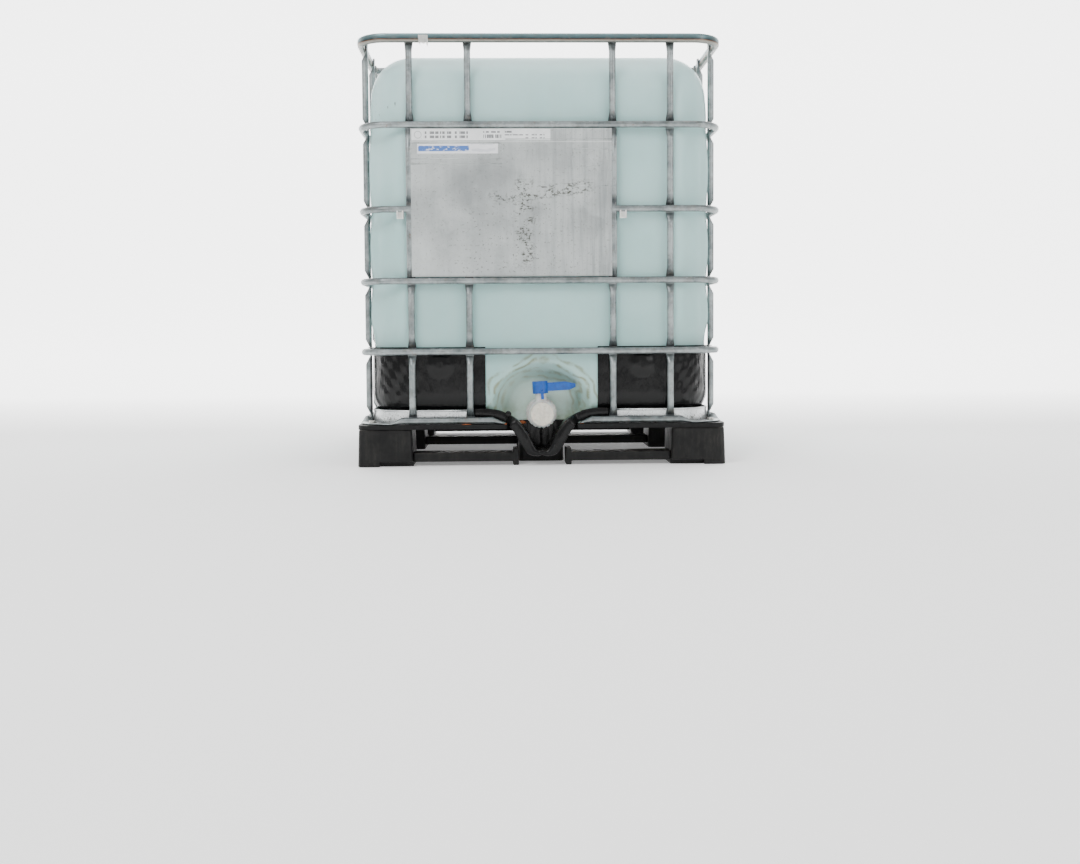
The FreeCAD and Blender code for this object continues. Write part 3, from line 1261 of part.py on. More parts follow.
def make_lid():
    outer = "lid_inner + lid_skirt_wall"
    floor = "bottle_top + lid_floor_gap"
    top = "lid_under + lid_plate"
    body = new_body("fill_lid")
    profile = new_sketch(body, "lid_profile", "XZ_Plane")
    outline(profile, [("0", "lid_under"), ("lid_inner", "lid_under"), ("lid_inner", floor),
                      (outer, floor), (outer, top), ("0", top)])
    turning = revolve(body, profile, "Z_Axis", "lid_turning")
    crown = value(top)
    round_edges(body, turning, "lid_plate / 2",
                lambda edge: lies_at(crown)(edge) and edge.BoundBox.XLength > 1, "lid_rounding")
    ribs = new_sketch(body, "lid_rib_plan", "XY_Plane", floor)
    rectangle(ribs, ("-lid_rib_rise / 2", "lid_rib_rise / 2"),
              (f"{outer} - lid_rib_rise / 2", f"{outer} + lid_rib_rise / 2"))
    rib = pad(body, ribs, f"{top} - ({floor}) - lid_plate / 2", "lid_rib")
    repeat_round(body, rib, "Z_Axis", 24, "lid_ribs")
    cross = new_sketch(body, "lid_bar_plan", "XY_Plane", top)
    rectangle(cross, ("-lid_rib_rise", "lid_rib_rise"), ("-lid_bar_half", "lid_bar_half"))
    pad(body, cross, "lid_rib_rise", "lid_bar")
    keep("fill_lid", body)
    gasket = new_body("lid_gasket")
    ring = new_sketch(gasket, "lid_gasket_profile", "XZ_Plane")
    low = "neck_top + seal_gap"
    outline(ring, [("neck_bore", low), ("lid_inner - seal_gap", low),
                   ("lid_inner - seal_gap", "lid_under"), ("neck_bore", "lid_under")])
    revolve(gasket, ring, "Z_Axis", "lid_gasket_turning")
    keep("lid_gasket", gasket)


def solids_of(thing):
    shape = thing.Shape
    return shape if shape.ShapeType == "Solid" else Part.makeCompound(shape.Solids)


def main():
    make_deck()
    feet = make_feet()
    make_runners(feet)
    make_trough()
    make_pan()
    make_guards()
    make_bottle()
    make_hoops()
    make_ring()
    make_uprights()
    make_base_rail()
    make_cross_bars()
    make_fasteners()
    make_plate()
    make_labels()
    make_valve_body()
    make_valve_inside()
    make_handle()
    make_outlet()
    make_lid()
    doc.recompute()
    for thing in doc.Objects:
        if "Invalid" in thing.State or "Error" in thing.State:
            raise RuntimeError(f"{thing.Label} did not build: {thing.State}")
    for thing in PARTS:
        if thing.Shape.isNull() or not thing.Shape.isValid() or not thing.Shape.Solids:
            raise RuntimeError(f"{thing.Label} has no valid solid")
    os.makedirs("parts", exist_ok=True)
    for thing in PARTS:
        solids_of(thing).exportStep(os.path.join("parts", thing.Label + ".step"))
    print(f"{len(PARTS)} sub-parts written")


main()
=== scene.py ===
"""Looks of an intermediate bulk container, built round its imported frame.

Metres, +Z up, -Y towards the front with the valve. Lengths in millimetres are written times MM.
"""

import math

import bmesh
import bpy
from mathutils import Matrix, Vector


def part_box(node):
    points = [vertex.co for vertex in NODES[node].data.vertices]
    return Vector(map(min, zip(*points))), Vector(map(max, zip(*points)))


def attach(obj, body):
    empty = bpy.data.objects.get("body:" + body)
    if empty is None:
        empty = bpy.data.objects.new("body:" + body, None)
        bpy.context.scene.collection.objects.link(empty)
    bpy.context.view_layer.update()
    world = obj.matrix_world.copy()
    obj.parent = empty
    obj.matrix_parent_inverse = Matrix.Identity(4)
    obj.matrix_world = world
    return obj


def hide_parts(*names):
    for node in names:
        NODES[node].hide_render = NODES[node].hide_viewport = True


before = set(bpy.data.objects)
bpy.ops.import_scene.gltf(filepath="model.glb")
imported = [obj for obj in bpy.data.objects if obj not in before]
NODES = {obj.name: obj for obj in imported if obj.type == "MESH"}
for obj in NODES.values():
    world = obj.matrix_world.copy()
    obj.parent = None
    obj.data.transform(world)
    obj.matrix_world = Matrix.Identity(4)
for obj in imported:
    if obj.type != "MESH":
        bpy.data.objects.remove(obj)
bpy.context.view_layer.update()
MM = 0.001


def middle(name):
    """The middle of a CAD node's box."""
    low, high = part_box(name)
    return (low + high) / 2


RAIL_HEIGHTS = [middle(name).z for name in
                ("rail_base", "hoop_guard", "hoop_lower", "hoop_middle", "hoop_upper", "ring_top")]
FRONT_BARS = [middle("upright_front_" + word).x
              for word in ("outer_left", "inner_left", "inner_right", "outer_right")]
REAR_BARS = [middle("upright_rear_" + word).x
             for word in ("outer_left", "inner_left", "middle", "inner_right", "outer_right")]
SIDE_BARS = [step * 188 * MM for step in (-2.5, -1.5, -0.5, 0.5, 1.5, 2.5)]
VALVE_Z = middle("neck_gasket").z


# ---- nodes ----

def tint(code):
    """An sRGB hex colour as linear light."""
    parts = [int(code[at:at + 2], 16) / 255 for at in (1, 3, 5)]
    linear = [part / 12.92 if part <= 0.04045 else ((part + 0.055) / 1.055) ** 2.4 for part in parts]
    return (*linear, 1.0)


def add(tree, kind, settings=None, inputs=None):
    """Add a node with its settings, and its inputs set or linked. Ramp stops are (place, hex colour)."""
    node = tree.nodes.new("ShaderNode" + kind)
    for name, setting in (settings or {}).items():
        if name == "stops":
            stops = node.color_ramp.elements
            while len(stops) < len(setting):
                stops.new(0.5)
            for stop, (place, colour) in zip(stops, setting):
                stop.position, stop.color = place, tint(colour)
        else:
            setattr(node, name, setting)
    for name, given in (inputs or {}).items():
        if isinstance(given, bpy.types.Node):
            coloured = given.bl_idname == "ShaderNodeMix" and given.data_type == "RGBA"
            given = given.outputs[2 if coloured else 0]
        if isinstance(given, bpy.types.NodeSocket):
            tree.links.new(given, node.inputs[name])
        else:
            node.inputs[name].default_value = given
    return node


COLOUR = {"data_type": "RGBA"}
TIMES = {"operation": "MULTIPLY"}
PLUS = {"operation": "ADD"}
LARGER = {"operation": "MAXIMUM"}


def begin(name, **shader):
    """A new material: its tree, its shader, and the place on the object in metres."""
    finish = bpy.data.materials.new(name)
    finish.use_nodes = True
    tree = finish.node_tree
    tree.nodes.clear()
    inputs = {key.replace("_", " "): given for key, given in shader.items()}
    surface = add(tree, "BsdfPrincipled", None, inputs)
    add(tree, "OutputMaterial", None, {"Surface": surface})
    place = add(tree, "TexCoord").outputs["Object"]
    return finish, tree, surface, place


def patches(tree, place, across, low, high, stretch=(1, 1, 1), detail=4, rough=0.6):
    """Where dirt, wear or cloudiness lies: soft patches about so many millimetres across."""
    spread = add(tree, "Mapping", None, {"Vector": place, "Scale": [1 / part for part in stretch]})
    cloud = add(tree, "TexNoise", None, {"Vector": spread, "Scale": 1 / (across * MM), "Detail": detail,
                                         "Roughness": rough})
    return add(tree, "MapRange", None, {0: cloud, 1: low, 2: high})


def belt(tree, along, low, high, soft):
    """One between two heights or widths in metres, fading out over the soft distance."""
    rise = add(tree, "MapRange", None, {0: along, 1: low - soft, 2: low})
    fall = add(tree, "MapRange", None, {0: along, 1: high, 2: high + soft, 3: 1.0, 4: 0.0})
    return add(tree, "Math", TIMES, {0: rise, 1: fall})


def complete(tree, surface, colour, gloss, rough, relief, depth):
    """Join colour, wandering roughness and relief, with the depth in millimetres, to the shader."""
    spread = add(tree, "MapRange", None, {0: gloss, 3: rough[0], 4: rough[1]})
    bump = add(tree, "Bump", None, {"Height": relief, "Distance": depth * MM})
    tree.links.new(colour.outputs[2 if colour.bl_idname == "ShaderNodeMix" else 0],
                   surface.inputs["Base Color"])
    tree.links.new(spread.outputs[0], surface.inputs["Roughness"])
    tree.links.new(bump.outputs[0], surface.inputs["Normal"])


# ---- finishes ----

def blown_polyethylene():
    """Natural HDPE blown into a mould: milky and faintly green, light sinks in, flow lines run upright."""
    finish, tree, surface, place = begin("blown_polyethylene", IOR=1.54, Subsurface_Weight=0.45,
                                         Subsurface_Scale=0.03, Subsurface_Radius=(1.0, 1.0, 0.9))
    x, y, z = add(tree, "SeparateXYZ", None, {0: place}).outputs
    clouds = patches(tree, place, 260, 0.3, 0.7)
    flow = patches(tree, place, 26, 0.25, 0.75, (1, 1, 16), 2)
    colour = add(tree, "ValToRGB", {"stops": ((0.0, "#a9cccb"), (1.0, "#b9d9d8"))}, {0: clouds})
    height = add(tree, "MapRange", None, {0: z, 1: 0.25, 2: 1.1})
    lit = add(tree, "Mix", COLOUR, {0: height, 6: tint("#e4eeec"), 7: tint("#ffffff")})
    colour = add(tree, "Mix", {**COLOUR, "blend_type": "MULTIPLY"}, {0: 1.0, 6: colour, 7: lit})
    lines = add(tree, "Math", TIMES, {0: flow, 1: 0.22})
    colour = add(tree, "Mix", COLOUR, {0: lines, 6: colour, 7: tint("#aec6c2")})
    # Green-brown growth settles in rings round the valve and along the heel.
    forward = add(tree, "Math", {"operation": "LESS_THAN"}, {0: y, 1: -0.4})
    level = add(tree, "Math", {"operation": "SUBTRACT"}, {0: z, 1: VALVE_Z})
    reach = add(tree, "CombineXYZ", None, {0: x, 1: level})
    reach = add(tree, "VectorMath", {"operation": "LENGTH"}, {0: reach}).outputs["Value"]
    wander = add(tree, "TexNoise", None, {"Vector": place, "Scale": 11.0, "Detail": 2.0})
    reach = add(tree, "Math", {"operation": "MULTIPLY_ADD"}, {0: wander, 1: 0.07, 2: reach})
    ripple = add(tree, "Math", {"operation": "SINE"},
                 {0: add(tree, "Math", TIMES, {0: reach, 1: math.tau / (19 * MM)})})
    ripple = add(tree, "MapRange", None, {0: ripple, 1: -0.4, 2: 1.0})
    rings = add(tree, "Math", TIMES, {0: ripple, 1: belt(tree, reach, 0.135, 0.19, 0.02)})
    broken = add(tree, "Math", TIMES, {0: patches(tree, place, 34, 0.38, 0.56), 1: forward})
    rings = add(tree, "Math", TIMES, {0: rings, 1: broken})
    rings = add(tree, "Math", TIMES, {0: rings, 1: 0.9})
    colour = add(tree, "Mix", COLOUR, {0: rings, 6: colour, 7: tint("#767b5a")})
    # Painted shade: a darker green tint over the recess round the valve.
    painted_recess_shade = add(tree, "Math", TIMES, {0: belt(tree, reach, 0.06, 0.14, 0.07), 1: forward})
    painted_recess_shade = add(tree, "Math", TIMES, {0: painted_recess_shade, 1: 0.25})
    colour = add(tree, "Mix", COLOUR, {0: painted_recess_shade, 6: colour, 7: tint("#b9c4ae")})
    # Painted light: the dish round the valve is painted lighter, against its own shade.
    dish = add(tree, "MapRange", None, {0: reach, 1: 0.09, 2: 0.17, 3: 0.7, 4: 0.0})
    dish = add(tree, "Math", TIMES, {0: dish, 1: forward})
    colour = add(tree, "Mix", COLOUR, {0: dish, 6: colour, 7: tint("#dcefe4")})
    heel = add(tree, "MapRange", None, {0: z, 1: 0.118, 2: 0.19, 3: 0.7, 4: 0.0})
    heel = add(tree, "Math", TIMES, {0: heel, 1: patches(tree, place, 40, 0.35, 0.6)})
    colour = add(tree, "Mix", COLOUR, {0: heel, 6: colour, 7: tint("#7b8a62")})
    # Scuffs where the upper corner rubbed against something dark.
    scuffs = add(tree, "Math", TIMES, {0: belt(tree, z, 0.95, 0.99, 0.01),
                                       1: belt(tree, x, -0.45, -0.39, 0.01)})
    scuffs = add(tree, "Math", TIMES, {0: scuffs, 1: patches(tree, place, 11, 0.66, 0.70, (1, 1, 2), 2)})
    colour = add(tree, "Mix", COLOUR, {0: scuffs, 6: colour, 7: tint("#5c6866")})
    relief = add(tree, "Math", PLUS, {0: clouds, 1: add(tree, "Math", TIMES, {0: flow, 1: 0.12})})
    complete(tree, surface, colour, clouds, (0.34, 0.48), relief, 2.2)
    return finish


def dipped_tube():
    """Hot-dip zinc on welded tube: grey spangle, white bloom, painted shade on the pinched ends by the
    welds, rusty specks.
    """
    finish, tree, surface, place = begin("dipped_zinc_tube", Metallic=0.78)
    z = add(tree, "SeparateXYZ", None, {0: place}).outputs[2]
    crystal = add(tree, "TexVoronoi", None, {"Vector": place, "Scale": 1 / (8 * MM)})
    spangle = add(tree, "SeparateColor", None, {0: crystal.outputs["Color"]})
    clouds = patches(tree, place, 55, 0.3, 0.7)
    mixed = add(tree, "Math", {"operation": "MULTIPLY_ADD"}, {0: spangle, 1: 0.25, 2: clouds})
    colour = add(tree, "ValToRGB", {"stops": ((0.1, "#6f7778"), (1.1, "#a6adae"))}, {0: mixed})
    # Painted shade: darker where the uprights are pinched flat, just above and below each rail.
    painted_pinch_shade = None
    for height in RAIL_HEIGHTS:
        above = belt(tree, z, height + 13 * MM, height + 24 * MM, 16 * MM)
        below = belt(tree, z, height - 26 * MM, height - 15 * MM, 7 * MM)
        both = add(tree, "Math", {"operation": "MULTIPLY_ADD"}, {0: below, 1: 0.5, 2: above})
        painted_pinch_shade = add(tree, "Math", LARGER, {0: painted_pinch_shade, 1: both}) if painted_pinch_shade else both
    painted_pinch_shade = add(tree, "Math", TIMES, {0: painted_pinch_shade, 1: patches(tree, place, 12, 0.2, 0.5, (1, 1, 3))})
    painted_pinch_shade = add(tree, "Math", TIMES, {0: painted_pinch_shade, 1: 0.9})
    colour = add(tree, "Mix", COLOUR, {0: painted_pinch_shade, 6: colour, 7: tint("#34393b")})
    grime = add(tree, "Math", TIMES, {0: patches(tree, place, 15, 0.5, 0.66), 1: 0.4})
    colour = add(tree, "Mix", COLOUR, {0: grime, 6: colour, 7: tint("#74716a")})
    rust = add(tree, "Math", TIMES, {0: patches(tree, place, 20, 0.64, 0.69, detail=6, rough=0.7), 1: 0.35})
    colour = add(tree, "Mix", COLOUR, {0: rust, 6: colour, 7: tint("#7d4d30")})
    complete(tree, surface, colour, clouds, (0.30, 0.52), mixed, 0.15)
    return finish


def weathered_ring_with_painted_reflection():
    """The taller top rail: painted reflection in bands by height, a grey crown, a dark band and a pale lower
    band, with a brown line at the seam; grime from years outside.
    """
    finish, tree, surface, place = begin("weathered_zinc_ring_painted_reflection", Metallic=0.7)
    low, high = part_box("ring_top")
    z = add(tree, "SeparateXYZ", None, {0: place}).outputs[2]
    clouds = patches(tree, place, 40, 0.3, 0.7)
    level = add(tree, "MapRange", None, {0: z, 1: low.z, 2: high.z})
    level = add(tree, "Math", {"operation": "MULTIPLY_ADD"}, {0: clouds, 1: 0.05, 2: level})
    # Painted reflection: a dark band over a pale lower band, with the brown seam line between them.
    painted_reflection_and_seam_bands = add(tree, "ValToRGB", {"stops": (
        (0.00, "#6f7472"), (0.14, "#8f8d86"), (0.26, "#807a70"), (0.31, "#7a4f38"),
        (0.37, "#2f3739"), (0.55, "#4e6468"), (0.85, "#6d878b"))}, {0: level})
    grime = add(tree, "Math", TIMES, {0: patches(tree, place, 18, 0.48, 0.66), 1: 0.4})
    colour = add(tree, "Mix", COLOUR, {0: grime, 6: painted_reflection_and_seam_bands, 7: tint("#6f6d67")})
    complete(tree, surface, colour, clouds, (0.32, 0.5), clouds, 0.4)
    return finish


def bright_sheet():
    """Deep-drawn zinc sheet of the base pan: bright spangle, drawn scratches, dirt caught low down."""
    finish, tree, surface, place = begin("bright_zinc_sheet", Metallic=0.8)
    z = add(tree, "SeparateXYZ", None, {0: place}).outputs[2]
    crystal = add(tree, "TexVoronoi", None, {"Vector": place, "Scale": 1 / (11 * MM)})
    spangle = add(tree, "SeparateColor", None, {0: crystal.outputs["Color"]})
    clouds = patches(tree, place, 70, 0.3, 0.7)
    mixed = add(tree, "Math", {"operation": "MULTIPLY_ADD"}, {0: spangle, 1: 0.25, 2: clouds})
    colour = add(tree, "ValToRGB", {"stops": ((0.1, "#c6cbcc"), (1.1, "#f0f2f2"))}, {0: mixed})
    low = add(tree, "MapRange", None, {0: z, 1: 0.128, 2: 0.146, 3: 1.0, 4: 0.2})
    specks = add(tree, "Math", TIMES, {0: patches(tree, place, 5, 0.56, 0.64), 1: low})
    colour = add(tree, "Mix", COLOUR, {0: specks, 6: colour, 7: tint("#66675f")})
    complete(tree, surface, colour, clouds, (0.22, 0.42), mixed, 0.5)
    return finish


def weathered_plate():
    """Rolled zinc sheet: flat grey, rain streaks on the right, the speckled ghost of old tape."""
    finish, tree, surface, place = begin("weathered_plate", Metallic=0.6)
    low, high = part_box("label_plate")
    x, _, z = add(tree, "SeparateXYZ", None, {0: place}).outputs
    clouds = patches(tree, place, 110, 0.3, 0.7)
    colour = add(tree, "ValToRGB", {"stops": ((0.0, "#acb1b1"), (1.0, "#c6cbca"))}, {0: clouds})
    # Rain ran down the right third and left fine upright lines.
    runs = patches(tree, place, 9, 0.45, 0.65, (1, 1, 26))
    right = add(tree, "MapRange", None, {0: x, 1: -0.1, 2: 0.16, 3: 0.12, 4: 0.6})
    runs = add(tree, "Math", TIMES, {0: runs, 1: right})
    colour = add(tree, "Mix", COLOUR, {0: runs, 6: colour, 7: tint("#8b9193")})
    # The glue of a cross of tape caught dirt: a band, a column and some loose dots.
    slope = add(tree, "Math", {"operation": "MULTIPLY_ADD"}, {0: x, 1: -0.12, 2: z})
    across = add(tree, "Math", TIMES, {0: belt(tree, x, -0.12, 0.12, 0.03),
                                       1: belt(tree, slope, 0.728, 0.748, 0.012)})
    column = add(tree, "Math", TIMES, {0: belt(tree, x, -0.060, -0.028, 0.014),
                                       1: belt(tree, z, 0.56, 0.76, 0.03)})
    cross = add(tree, "Math", LARGER, {0: across, 1: column})
    crumbs = add(tree, "Math", TIMES, {0: patches(tree, place, 6, 0.50, 0.56, (1.5, 1, 1), 5, 0.7),
                                       1: patches(tree, place, 22, 0.42, 0.50, (1.6, 1, 1), 2)})
    stain = add(tree, "Math", TIMES, {0: cross, 1: crumbs})
    colour = add(tree, "Mix", COLOUR, {0: stain, 6: colour, 7: tint("#55564f")})
    centre = add(tree, "Math", TIMES, {0: belt(tree, x, -0.17, 0.02, 0.09),
                                       1: belt(tree, z, 0.54, 0.70, 0.06)})
    centre = add(tree, "MapRange", None, {0: centre, 3: 0.35, 4: 0.7})
    dots = add(tree, "Math", TIMES, {0: patches(tree, place, 6, 0.63, 0.66, detail=2), 1: centre})
    colour = add(tree, "Mix", COLOUR, {0: dots, 6: colour, 7: tint("#65665f")})
    shade = add(tree, "Math", TIMES, {0: belt(tree, x, -0.20, -0.10, 0.08),
                                      1: belt(tree, z, 0.72, 0.78, 0.05)})
    shade = add(tree, "Math", TIMES, {0: shade, 1: 0.3})
    colour = add(tree, "Mix", COLOUR, {0: shade, 6: colour, 7: tint("#8f9496")})
    # Dark lines where dirt collects along the edges, and a painted highlight, a bright line along the
    # pressed line under the upper label.
    rim = add(tree, "MapRange", None, {0: z, 1: low.z, 2: low.z + 5 * MM, 3: 0.6, 4: 0.0})
    colour = add(tree, "Mix", COLOUR, {0: rim, 6: colour, 7: tint("#6b6f6d")})
    # Painted highlight along the pressed line.
    crease = belt(tree, z, high.z - 36.5 * MM, high.z - 35 * MM, 1.2 * MM)
    crease = add(tree, "Math", TIMES, {0: crease, 1: 0.6})
    colour = add(tree, "Mix", COLOUR, {0: crease, 6: colour, 7: tint("#e3e6e5")})
    relief = add(tree, "Math", {"operation": "MULTIPLY_ADD"}, {0: runs, 1: 0.05, 2: clouds})
    gloss = add(tree, "Math", LARGER, {0: clouds, 1: stain})
    complete(tree, surface, colour, gloss, (0.30, 0.48), relief, 3.0)
    return finish


def moulded_black(name, dust, rough, relief_depth, buckle):
    """Black HDPE moulding: carbon black, a grey film of dust on top faces and in long rubbed streaks."""
    # Worn carbon-black skin throws back less than clean HDPE would.
    finish, tree, surface, place = begin(name, IOR=1.54, Specular_IOR_Level=0.22)
    facing = add(tree, "SeparateXYZ", None, {0: add(tree, "NewGeometry").outputs["Normal"]}).outputs[2]
    upper = add(tree, "MapRange", None, {0: facing, 1: 0.2, 2: 0.9, 3: 0.25, 4: 1.0})
    clouds = patches(tree, place, 50, 0.35, 0.7, detail=6)
    rubbed = patches(tree, place, 10, 0.4, 0.7, (1, 1, 6))
    colour = add(tree, "ValToRGB", {"stops": ((0.0, "#050506"), (1.0, "#0c0d0e"))}, {0: clouds})
    film = add(tree, "Math", LARGER, {0: add(tree, "Math", TIMES, {0: clouds, 1: rubbed}),
                                      1: add(tree, "Math", TIMES, {0: clouds, 1: upper})})
    film = add(tree, "Math", TIMES, {0: film, 1: upper})
    film = add(tree, "Math", TIMES, {0: film, 1: dust})
    colour = add(tree, "Mix", COLOUR, {0: film, 6: colour, 7: tint("#7a766d")})
    folds = patches(tree, place, 85, 0.3, 0.7, (1, 1, 0.7), 1, 0.4)
    relief = add(tree, "Math", {"operation": "MULTIPLY_ADD"}, {0: folds, 1: buckle, 2: rubbed})
    complete(tree, surface, colour, rubbed, rough, relief, relief_depth)
    return finish


def moulded_plastic(name, dark, light, rough, grime, share, soft):
    """Injection-moulded plastic: even colour, slight cloudiness, grime in patches, a fine skin."""
    finish, tree, surface, place = begin(name, IOR=1.5, Subsurface_Weight=soft, Subsurface_Scale=0.004)
    clouds = patches(tree, place, 14, 0.3, 0.7)
    colour = add(tree, "ValToRGB", {"stops": ((0.0, dark), (1.0, light))}, {0: clouds})
    film = add(tree, "Math", TIMES, {0: patches(tree, place, 8, 0.5, 0.68, detail=5), 1: share})
    colour = add(tree, "Mix", COLOUR, {0: film, 6: colour, 7: tint(grime)})
    # The real spark grain is finer than this; drawn at 1.2 mm so that it shows.
    skin = patches(tree, place, 1.2, 0.3, 0.7, detail=2)
    complete(tree, surface, colour, clouds, rough, skin, 0.04)
    return finish


def plated_steel():
    """Zinc-plated bolts and spindle: pale, slightly yellow, brown in the corners."""
    finish, tree, surface, place = begin("plated_steel", Metallic=0.9)
    clouds = patches(tree, place, 7, 0.3, 0.7)
    colour = add(tree, "ValToRGB", {"stops": ((0.0, "#96968f"), (1.0, "#cfcfc9"))}, {0: clouds})
    rust = add(tree, "Math", TIMES, {0: patches(tree, place, 5, 0.58, 0.66, detail=6), 1: 0.5})
    colour = add(tree, "Mix", COLOUR, {0: rust, 6: colour, 7: tint("#7d4f32")})
    complete(tree, surface, colour, clouds, (0.25, 0.45), clouds, 0.1)
    return finish


def seal_rubber():
    """Vulcanised seal rubber: matt black with a pale bloom."""
    finish, tree, surface, place = begin("seal_rubber", IOR=1.52)
    bloom = patches(tree, place, 5, 0.35, 0.75)
    colour = add(tree, "ValToRGB", {"stops": ((0.0, "#151515"), (1.0, "#2d2d2c"))}, {0: bloom})
    complete(tree, surface, colour, bloom, (0.6, 0.8), bloom, 0.1)
    return finish


def print_rows(tree, place, x, z, span, rows, height, stroke):
    """Rows of broken strokes that stand for print, none of them a letter."""
    strokes = patches(tree, place, stroke, 0.44, 0.48, (1, 1, 60), 1)
    lines = None
    for row in rows:
        line = belt(tree, z, row, row + height, 0.5 * MM)
        lines = add(tree, "Math", LARGER, {0: lines, 1: line}) if lines else line
    lines = add(tree, "Math", TIMES, {0: lines, 1: belt(tree, x, *span, 0.5 * MM)})
    return add(tree, "Math", TIMES, {0: lines, 1: strokes})


def document_film():
    """White film with two rows of dark print, a block of bars, small print and a ring mark."""
    finish, tree, surface, place = begin("document_film", IOR=1.46)
    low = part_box("document_label")[0]
    x, _, z = add(tree, "SeparateXYZ", None, {0: place}).outputs
    clouds = patches(tree, place, 30, 0.3, 0.7)
    colour = add(tree, "ValToRGB", {"stops": ((0.0, "#d9dbdc"), (1.0, "#e8eaea"))}, {0: clouds})
    left, base = low.x, low.z
    rows = (
        ((left + 32 * MM, left + 152 * MM), (base + 6 * MM, base + 17 * MM), 6.5 * MM, 6),
        ((left + 190 * MM, left + 242 * MM), (base + 6 * MM,), 9 * MM, 3),
        ((left + 192 * MM, left + 236 * MM), (base + 20 * MM,), 4 * MM, 5),
        ((left + 250 * MM, left + 268 * MM), (base + 20 * MM,), 4.5 * MM, 5),
        ((left + 250 * MM, left + 356 * MM), (base + 13 * MM,), 2.5 * MM, 4),
        ((left + 300 * MM, left + 356 * MM), (base + 5 * MM,), 2.5 * MM, 4),
    )
    for span, heights, tall, stroke in rows:
        ink = print_rows(tree, place, x, z, span, heights, tall, stroke)
        ink = add(tree, "Math", TIMES, {0: ink, 1: 0.8})
        colour = add(tree, "Mix", COLOUR, {0: ink, 6: colour, 7: tint("#46494c")})
    spot = add(tree, "CombineXYZ", None, {0: x, 2: z})
    away = add(tree, "VectorMath", {"operation": "DISTANCE"},
               {0: spot, 1: (left + 17 * MM, 0, base + 15 * MM)}).outputs["Value"]
    ring = add(tree, "Math", TIMES, {0: belt(tree, away, 8.6 * MM, 9.8 * MM, 0.8 * MM), 1: 0.6})
    colour = add(tree, "Mix", COLOUR, {0: ring, 6: colour, 7: tint("#7f8385")})
    worn = add(tree, "Math", TIMES, {0: patches(tree, place, 12, 0.58, 0.66), 1: 0.3})
    colour = add(tree, "Mix", COLOUR, {0: worn, 6: colour, 7: tint("#bdc0c1")})
    complete(tree, surface, colour, clouds, (0.3, 0.45), clouds, 0.2)
    return finish


def grade_film():
    """White film with a scratched blue band and a pale swirl."""
    finish, tree, surface, place = begin("grade_film", IOR=1.46)
    low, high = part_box("grade_label")
    x, _, z = add(tree, "SeparateXYZ", None, {0: place}).outputs
    clouds = patches(tree, place, 30, 0.3, 0.7)
    colour = add(tree, "ValToRGB", {"stops": ((0.0, "#dcdee1"), (1.0, "#eaebee"))}, {0: clouds})
    band = add(tree, "Math", TIMES, {0: belt(tree, x, low.x + 3 * MM, low.x + 138 * MM, 1 * MM),
                                     1: belt(tree, z, low.z + 7 * MM, low.z + 20 * MM, 1.5 * MM)})
    scratched = patches(tree, place, 11, 0.36, 0.46, (1, 1, 0.6))
    band = add(tree, "Math", TIMES, {0: band, 1: scratched})
    colour = add(tree, "Mix", COLOUR, {0: band, 6: colour, 7: tint("#4a6fb2")})
    swirl = add(tree, "TexWave", {"wave_type": "RINGS"},
                {"Vector": place, "Scale": 22.0, "Distortion": 6.0, "Detail": 2.0})
    swirl = add(tree, "MapRange", None, {0: swirl.outputs["Fac"], 1: 0.55, 2: 0.9})
    swirl = add(tree, "Math", TIMES, {0: swirl, 1: belt(tree, x, low.x + 146 * MM, high.x - 8 * MM, 2 * MM)})
    swirl = add(tree, "Math", TIMES, {0: swirl, 1: 0.35})
    colour = add(tree, "Mix", COLOUR, {0: swirl, 6: colour, 7: tint("#9aa0ab")})
    complete(tree, surface, colour, clouds, (0.3, 0.45), clouds, 0.2)
    return finish


def milky_tape():
    """Clear packing tape gone milky and creased."""
    finish, tree, surface, place = begin("milky_tape", IOR=1.49, Transmission_Weight=0.25)
    creases = patches(tree, place, 5, 0.3, 0.7, (1, 1, 3))
    colour = add(tree, "ValToRGB", {"stops": ((0.0, "#aeb0ac"), (1.0, "#dcdcd8"))}, {0: creases})
    complete(tree, surface, colour, creases, (0.25, 0.45), creases, 1.0)
    return finish


def rust_crust():
    """Crumbly rust and dried residue."""
    finish, tree, surface, place = begin("rust_crust", IOR=1.5)
    lumps = patches(tree, place, 4, 0.3, 0.7)
    colour = add(tree, "ValToRGB", {"stops": ((0.0, "#7a3b1e"), (1.0, "#bd6a3c"))}, {0: lumps})
    complete(tree, surface, colour, lumps, (0.75, 0.95), lumps, 1.5)
    return finish


def seamless_paper():
    """Matt white paper with the faintest fibre, its wall lit through from behind."""
    finish, tree, surface, place = begin("seamless_paper", IOR=1.45, Emission_Color=tint("#ffffff"),
                                         Emission_Strength=1.0)
    depth = add(tree, "SeparateXYZ", None, {0: place}).outputs[1]
    glow = add(tree, "MapRange", None, {0: depth, 1: 0.7, 2: 4.5, 3: 0.25, 4: 3.2})
    tree.links.new(glow.outputs[0], surface.inputs["Emission Strength"])
    fibre = patches(tree, place, 3, 0.2, 0.8)
    colour = add(tree, "ValToRGB", {"stops": ((0.0, "#f1f1f0"), (1.0, "#f6f6f6"))}, {0: fibre})
    complete(tree, surface, colour, fibre, (0.85, 0.95), fibre, 0.1)
    return finish


